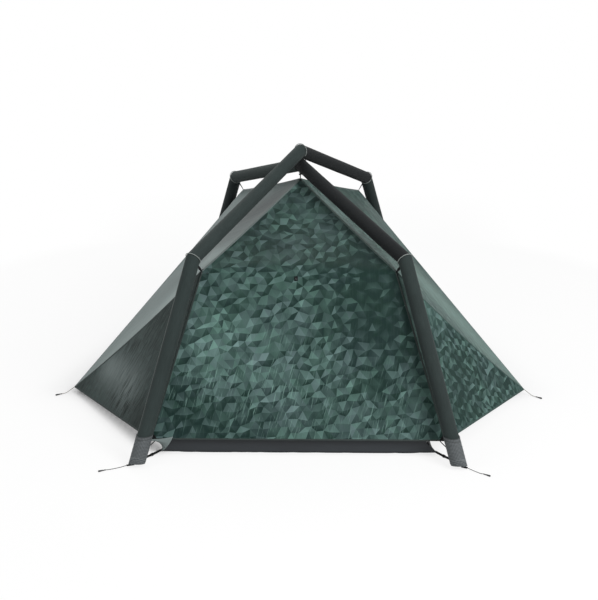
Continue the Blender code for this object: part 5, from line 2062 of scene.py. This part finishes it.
def makePeakStrap():
    look, node = straps["peak"], ("peak_strap",)
    tube = arches["tubeRadius"] / min(1, lowerArch.mitre(2).dot(lowerArch.along(2)))
    top = lowerArch.joints[2] - upwards * (tube + look["clear"])
    low = fly["peak"] + upwards * look["foot"]
    middle = low.lerp(top, look["middle"])
    strip("peakStrap", between(low, middle, 4), *look["strap"], frontwards, replaces=node)
    strip("peakLoop", between(middle, top, 4), *look["loop"], frontwards, replaces=node)
    place = frameAlong(middle + frontwards * 0.0022, Vector((1, 0, 0.15)), frontwards)
    profile = straps["toggle"] + [(radius, -height) for radius, height in reversed(straps["toggle"])]
    rest = {"sides": straps["toggleSides"], "replaces": node, "slot": "plastic"}
    turned("peakToggle", profile, place, "plastic", **rest)
    look = straps["ring"]
    ring = []
    for turn in even(look["sides"], 0, wholeTurn)[:-1]:
        across, up = (look["radius"] * way(turn) for way in (math.cos, math.sin))
        back = look["twist"] * math.sin(2 * turn) - look["back"]
        ring.append(middle + Vector((across, back, look["up"] + up)))
    lineCurve("peakRing", ring, look["wire"], "piping", cyclic=True, resolution=2, replaces=node)


def makeFloorStrap(title, arch, joint, side, hem):
    look = straps["floor"]
    foot, leg = arch.joints[joint], arch.leg(joint)
    radius = arches["tubeRadius"] + boots["gap"] + boots["wall"]
    low, high = tubCorner(hem, False), tubCorner(hem, True)
    start = mirrored(low.lerp(high, look["height"] / tub["height"]), side)
    start += Vector((side * tub["cornerPull"] * 0.8, 0, -look["drop"]))
    aim = foot - leg * look["below"]
    run = (aim - start).normalized()
    reach = reachToTube(start, run, aim, leg, radius) - straps["gap"]
    points = bowed(start + run * straps["start"], start + run * reach, 10, -upwards * look["bow"])
    outward = Vector((0, -1 if joint == 0 else 1, 0.35)).normalized()
    node = nodeName(title) + "_floor_strap"
    strip(f"{title}FloorStrap", points, look["width"], straps["thickness"], outward, replaces=(node,))
    makeBuckle(f"{title}FloorBuckle", points[5], run, outward, straps["buckle"]["floor"])
    # two thin elastic cords from the fly's hem corner to the boot beside it
    look = straps["hemCord"]
    for count, (inward, height) in enumerate(straps["hemCords"]):
        aim = foot + leg * height
        top = mirrored(hem, side) + Vector((-side * inward, 0, look["lift"]))
        run = (aim - top).normalized()
        end = top + run * (reachToTube(top, run, aim, leg, radius) - look["gap"])
        points = bowed(top + run * look["start"], end, 8, -upwards * look["bow"])
        lineCurve(f"{title}HemCord{count}", points, look["radius"], "webbing", resolution=2)


pullTab = {
    "x": -0.014,
    "drop": 0.026,
    "width": 0.016,
    "length": 0.026,
    "thick": 0.0018,
    "lift": 0.0008,
    "bow": 0.0012,
    "eyelet": [
        (0.0052, 0), (0.0050, 0.0007), (0.0040, 0.0010), (0.0031, 0.0006), (0.0029, 0),
        (0.0029, -0.0004), (0.0052, -0.0004), (0.0052, 0),
    ],
}


def makePullTab():
    sheet, x, thick = sheets["front"], pullTab["x"], pullTab["thick"]
    y = sheet.wall - pullTab["drop"]
    points = []
    for share in even(8):
        lift = pullTab["lift"] + thick / 2 + pullTab["bow"] * math.sin(math.pi * share) ** 2
        points.append(sheet.at(x, y + pullTab["length"] * (share - 0.5), lift))
    outward = sheet.normal(x, y)
    strip("pullTab", points, pullTab["width"], thick, outward, replaces=("front_pull_tab",))
    place = frameAlong(points[3] + outward * (thick / 2 + 0.0002), outward, Vector((1, 0, 0)))
    turned("pullTabEyelet", pullTab["eyelet"], place, "plastic", slot="plastic")


for title, arch, joint, side in tentCorners:
    end = "front" if joint == 0 else "rear"
    makeShoulderStrap(title, arch, 1 if joint == 0 else 3, mirrored(fly[end + "Corner"], side))
    makeFloorStrap(title, arch, joint, side, fly[end + "Hem"])
makePeakStrap()
makePullTab()
say("straps")


# the valve and its cap

valve = {
    "centre": (0.47283, 0.99978, 0.54443),
    "down": (0.24119, 0.45771, -0.85576),
    "out": (-0.88469, 0.46618, 0),
    "tube": 0.0343,
    "sides": 40,
    "body": [
        (0.0056, -0.004), (0.0056, 0.0132), (0.0062, 0.0135), (0.0119, 0.0135), (0.0125, 0.0130),
        (0.0125, 0.0052), (0.0130, 0.0042), (0.0180, 0.0036), (0.0189, 0.0028), (0.0191, 0.0),
    ],
    "core": [(0.0057, 0.0030), (0.0020, 0.0032), (0.0016, 0.0092), (0.0, 0.0094)],
    "cap": [
        (0, 0.0174), (0.0118, 0.0174), (0.0144, 0.0169), (0.0150, 0.0160), (0.0150, 0.0143),
        (0.0144, 0.0140), (0.0128, 0.0140), (0.0, 0.0140),
    ],
    "capSides": 72,
    "grip": 0.00035,
    "gripFrom": (0.0140, 0.0141, 0.0172),  # least radius, lowest and highest level
}


def makeValve():
    out, tube = Vector(valve["out"]), valve["tube"]
    matrix = frameAlong(Vector(valve["centre"]) + out * tube, out, Vector(valve["down"]))
    plain = onAxis(matrix)

    def bodyPoint(radius, height, turn):
        # the flange follows the tube: its skirt reaches down both sides
        drop = tube - math.sqrt(tube**2 - (radius * math.sin(turn)) ** 2) if height < 0.005 else 0
        return plain(radius, height - drop, turn)

    def capPoint(radius, height, turn):
        least, low, high = valve["gripFrom"]
        side = round(turn / wholeTurn * valve["capSides"])
        ribbed = radius > least and low < height < high and side % 4 < 2
        return plain(radius - valve["grip"] * ribbed, height, turn)

    shape = bmesh.new()
    rings = lathe(shape, valve["body"], valve["sides"], bodyPoint)
    joinRings(shape, rings + rings[:1])
    rest = {"replaces": ("inflation_valve",), "slot": "plastic", "sharp": 38}
    newPiece("valveBody", outwardMesh(shape, "valve"), "plastic", **rest)
    turned("valveCore", valve["core"], matrix, "zip", sides=20, slot="zip_metal")
    shape = bmesh.new()
    joinRings(shape, lathe(shape, valve["cap"], valve["capSides"], capPoint))
    rest = {"body": "cap", "replaces": ("valve_cap",), "slot": "plastic", "sharp": 38}
    newPiece("valveCap", outwardMesh(shape, "cap"), "plastic", **rest)


makeValve()
say("valve")


# the zips

zips = {
    "lift": 0.0004,
    "line": 0.010,
    "gap": 0.0005,
    "tape": 0.0115,
    "doorTape": 0.0135,
    "tapeThickness": 0.0005,
    "coil": (0.0012, 0.0010),  # how far each half lies from the line and above the tape
    "pitch": 0.0024,
    "tooth": (0.0022, 0.0016, 0.0013),
    "start": 0.02,
    "end": 0.975,
    "sliderAt": 0.045,
    # the plate narrows towards its foot, with flanges down both sides and a bridge on top
    "plate": [
        (-0.0050, 0.0080), (0.0050, 0.0080), (0.0050, 0.0020), (0.0036, -0.0076),
        (0.0026, -0.0080), (-0.0026, -0.0080), (-0.0036, -0.0076), (-0.0050, 0.0020),
    ],
    "plateLevels": ((0.0031, 1, 1), (0.0042, 0.93, 0.95)),
    "boxes": [
        ((-0.0045, 0.0042, 0.0021), (0.0010, 0.0070, 0.0021)),
        ((0.0045, 0.0042, 0.0021), (0.0010, 0.0070, 0.0021)),
        ((0, 0.0042, 0.0047), (0.0022, 0.0016, 0.0012)),
        ((0, -0.0046, 0.0047), (0.0022, 0.0016, 0.0012)),
        ((0, -0.0002, 0.0056), (0.0020, 0.0104, 0.0008)),
    ],
    "bevel": 0.00022,
    "pull": [  # it hangs down on the cloth, and ends in a corded grip
        ((0, -0.0150, 0.0036), (0.0046, 0.0170, 0.0012)),
        ((0, -0.0290, 0.0036), (0.0060, 0.0120, 0.0022)),
    ],
}


def makeSlider(place, low, run, inward, outward):
    matrix = Matrix((inward, run, outward)).transposed().to_4x4()
    matrix.translation = low + run * zips["sliderAt"] + inward * zips["line"]
    shape = bmesh.new()
    rings = []
    for z, shareX, shareY in zips["plateLevels"]:
        rings.append([shape.verts.new((x * shareX, y * shareY, z)) for x, y in zips["plate"]])
    shape.faces.new(list(reversed(rings[0])))
    shape.faces.new(rings[1])
    joinRings(shape, rings)
    for box in zips["boxes"]:
        addBox(shape, *box)
    bmesh.ops.bevel(shape, geom=list(shape.edges), offset=zips["bevel"], segments=1, affect="EDGES")
    for box in zips["pull"]:
        addBox(shape, *box)
    bmesh.ops.transform(shape, matrix=matrix, verts=shape.verts)
    lower = place.lower()
    rest = {"body": f"{lower}_slider", "replaces": (f"zip_slider_{lower}",), "sharp": 30}
    newPiece(f"zipSlider{place}", outwardMesh(shape, "slider"), "zip", **rest)


def makeZip(place, side):
    low, top, hem = (mirrored(fly[k], side) for k in ("doorFoot", "doorTop", "rearHem"))
    run, toHem = (top - low).normalized(), (hem - low).normalized()
    outward = run.cross(toHem).normalized()
    if outward.x * side < 0:
        outward = -outward
    inward = (toHem - run * toHem.dot(run)).normalized()
    shift = outward * zips["lift"] + inward * zips["line"]
    start, end = (low.lerp(top, zips[k]) + shift for k in ("start", "end"))
    door = f"{place.lower()}_fly_door"
    for part, sign, width, body in (("Door", -1, zips["doorTape"], door), ("", 1, zips["tape"], "tent")):
        toSide = inward * sign
        points = [p + toSide * (zips["gap"] + width / 2) for p in between(start, end, 60)]
        strip(f"zipTape{part}{place}", points, width, zips["tapeThickness"], outward, body=body)
        aside, above = zips["coil"]
        points = [p + toSide * aside + outward * above for p in between(start, end, 40)]
        alongLines(f"zipCoil{part}{place}", [points], zips["pitch"], zips["tooth"], "plastic", body)
    makeSlider(place, low, run, inward, outward)


for place, side in bothSides:
    makeZip(place, side)
say("zips")


sizes = {"cad": [list(map(float, p)) for p in cadBox], "visual": [list(map(float, p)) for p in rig.bounds()]}
with open("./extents.json", "w") as out:
    json.dump(sizes, out)
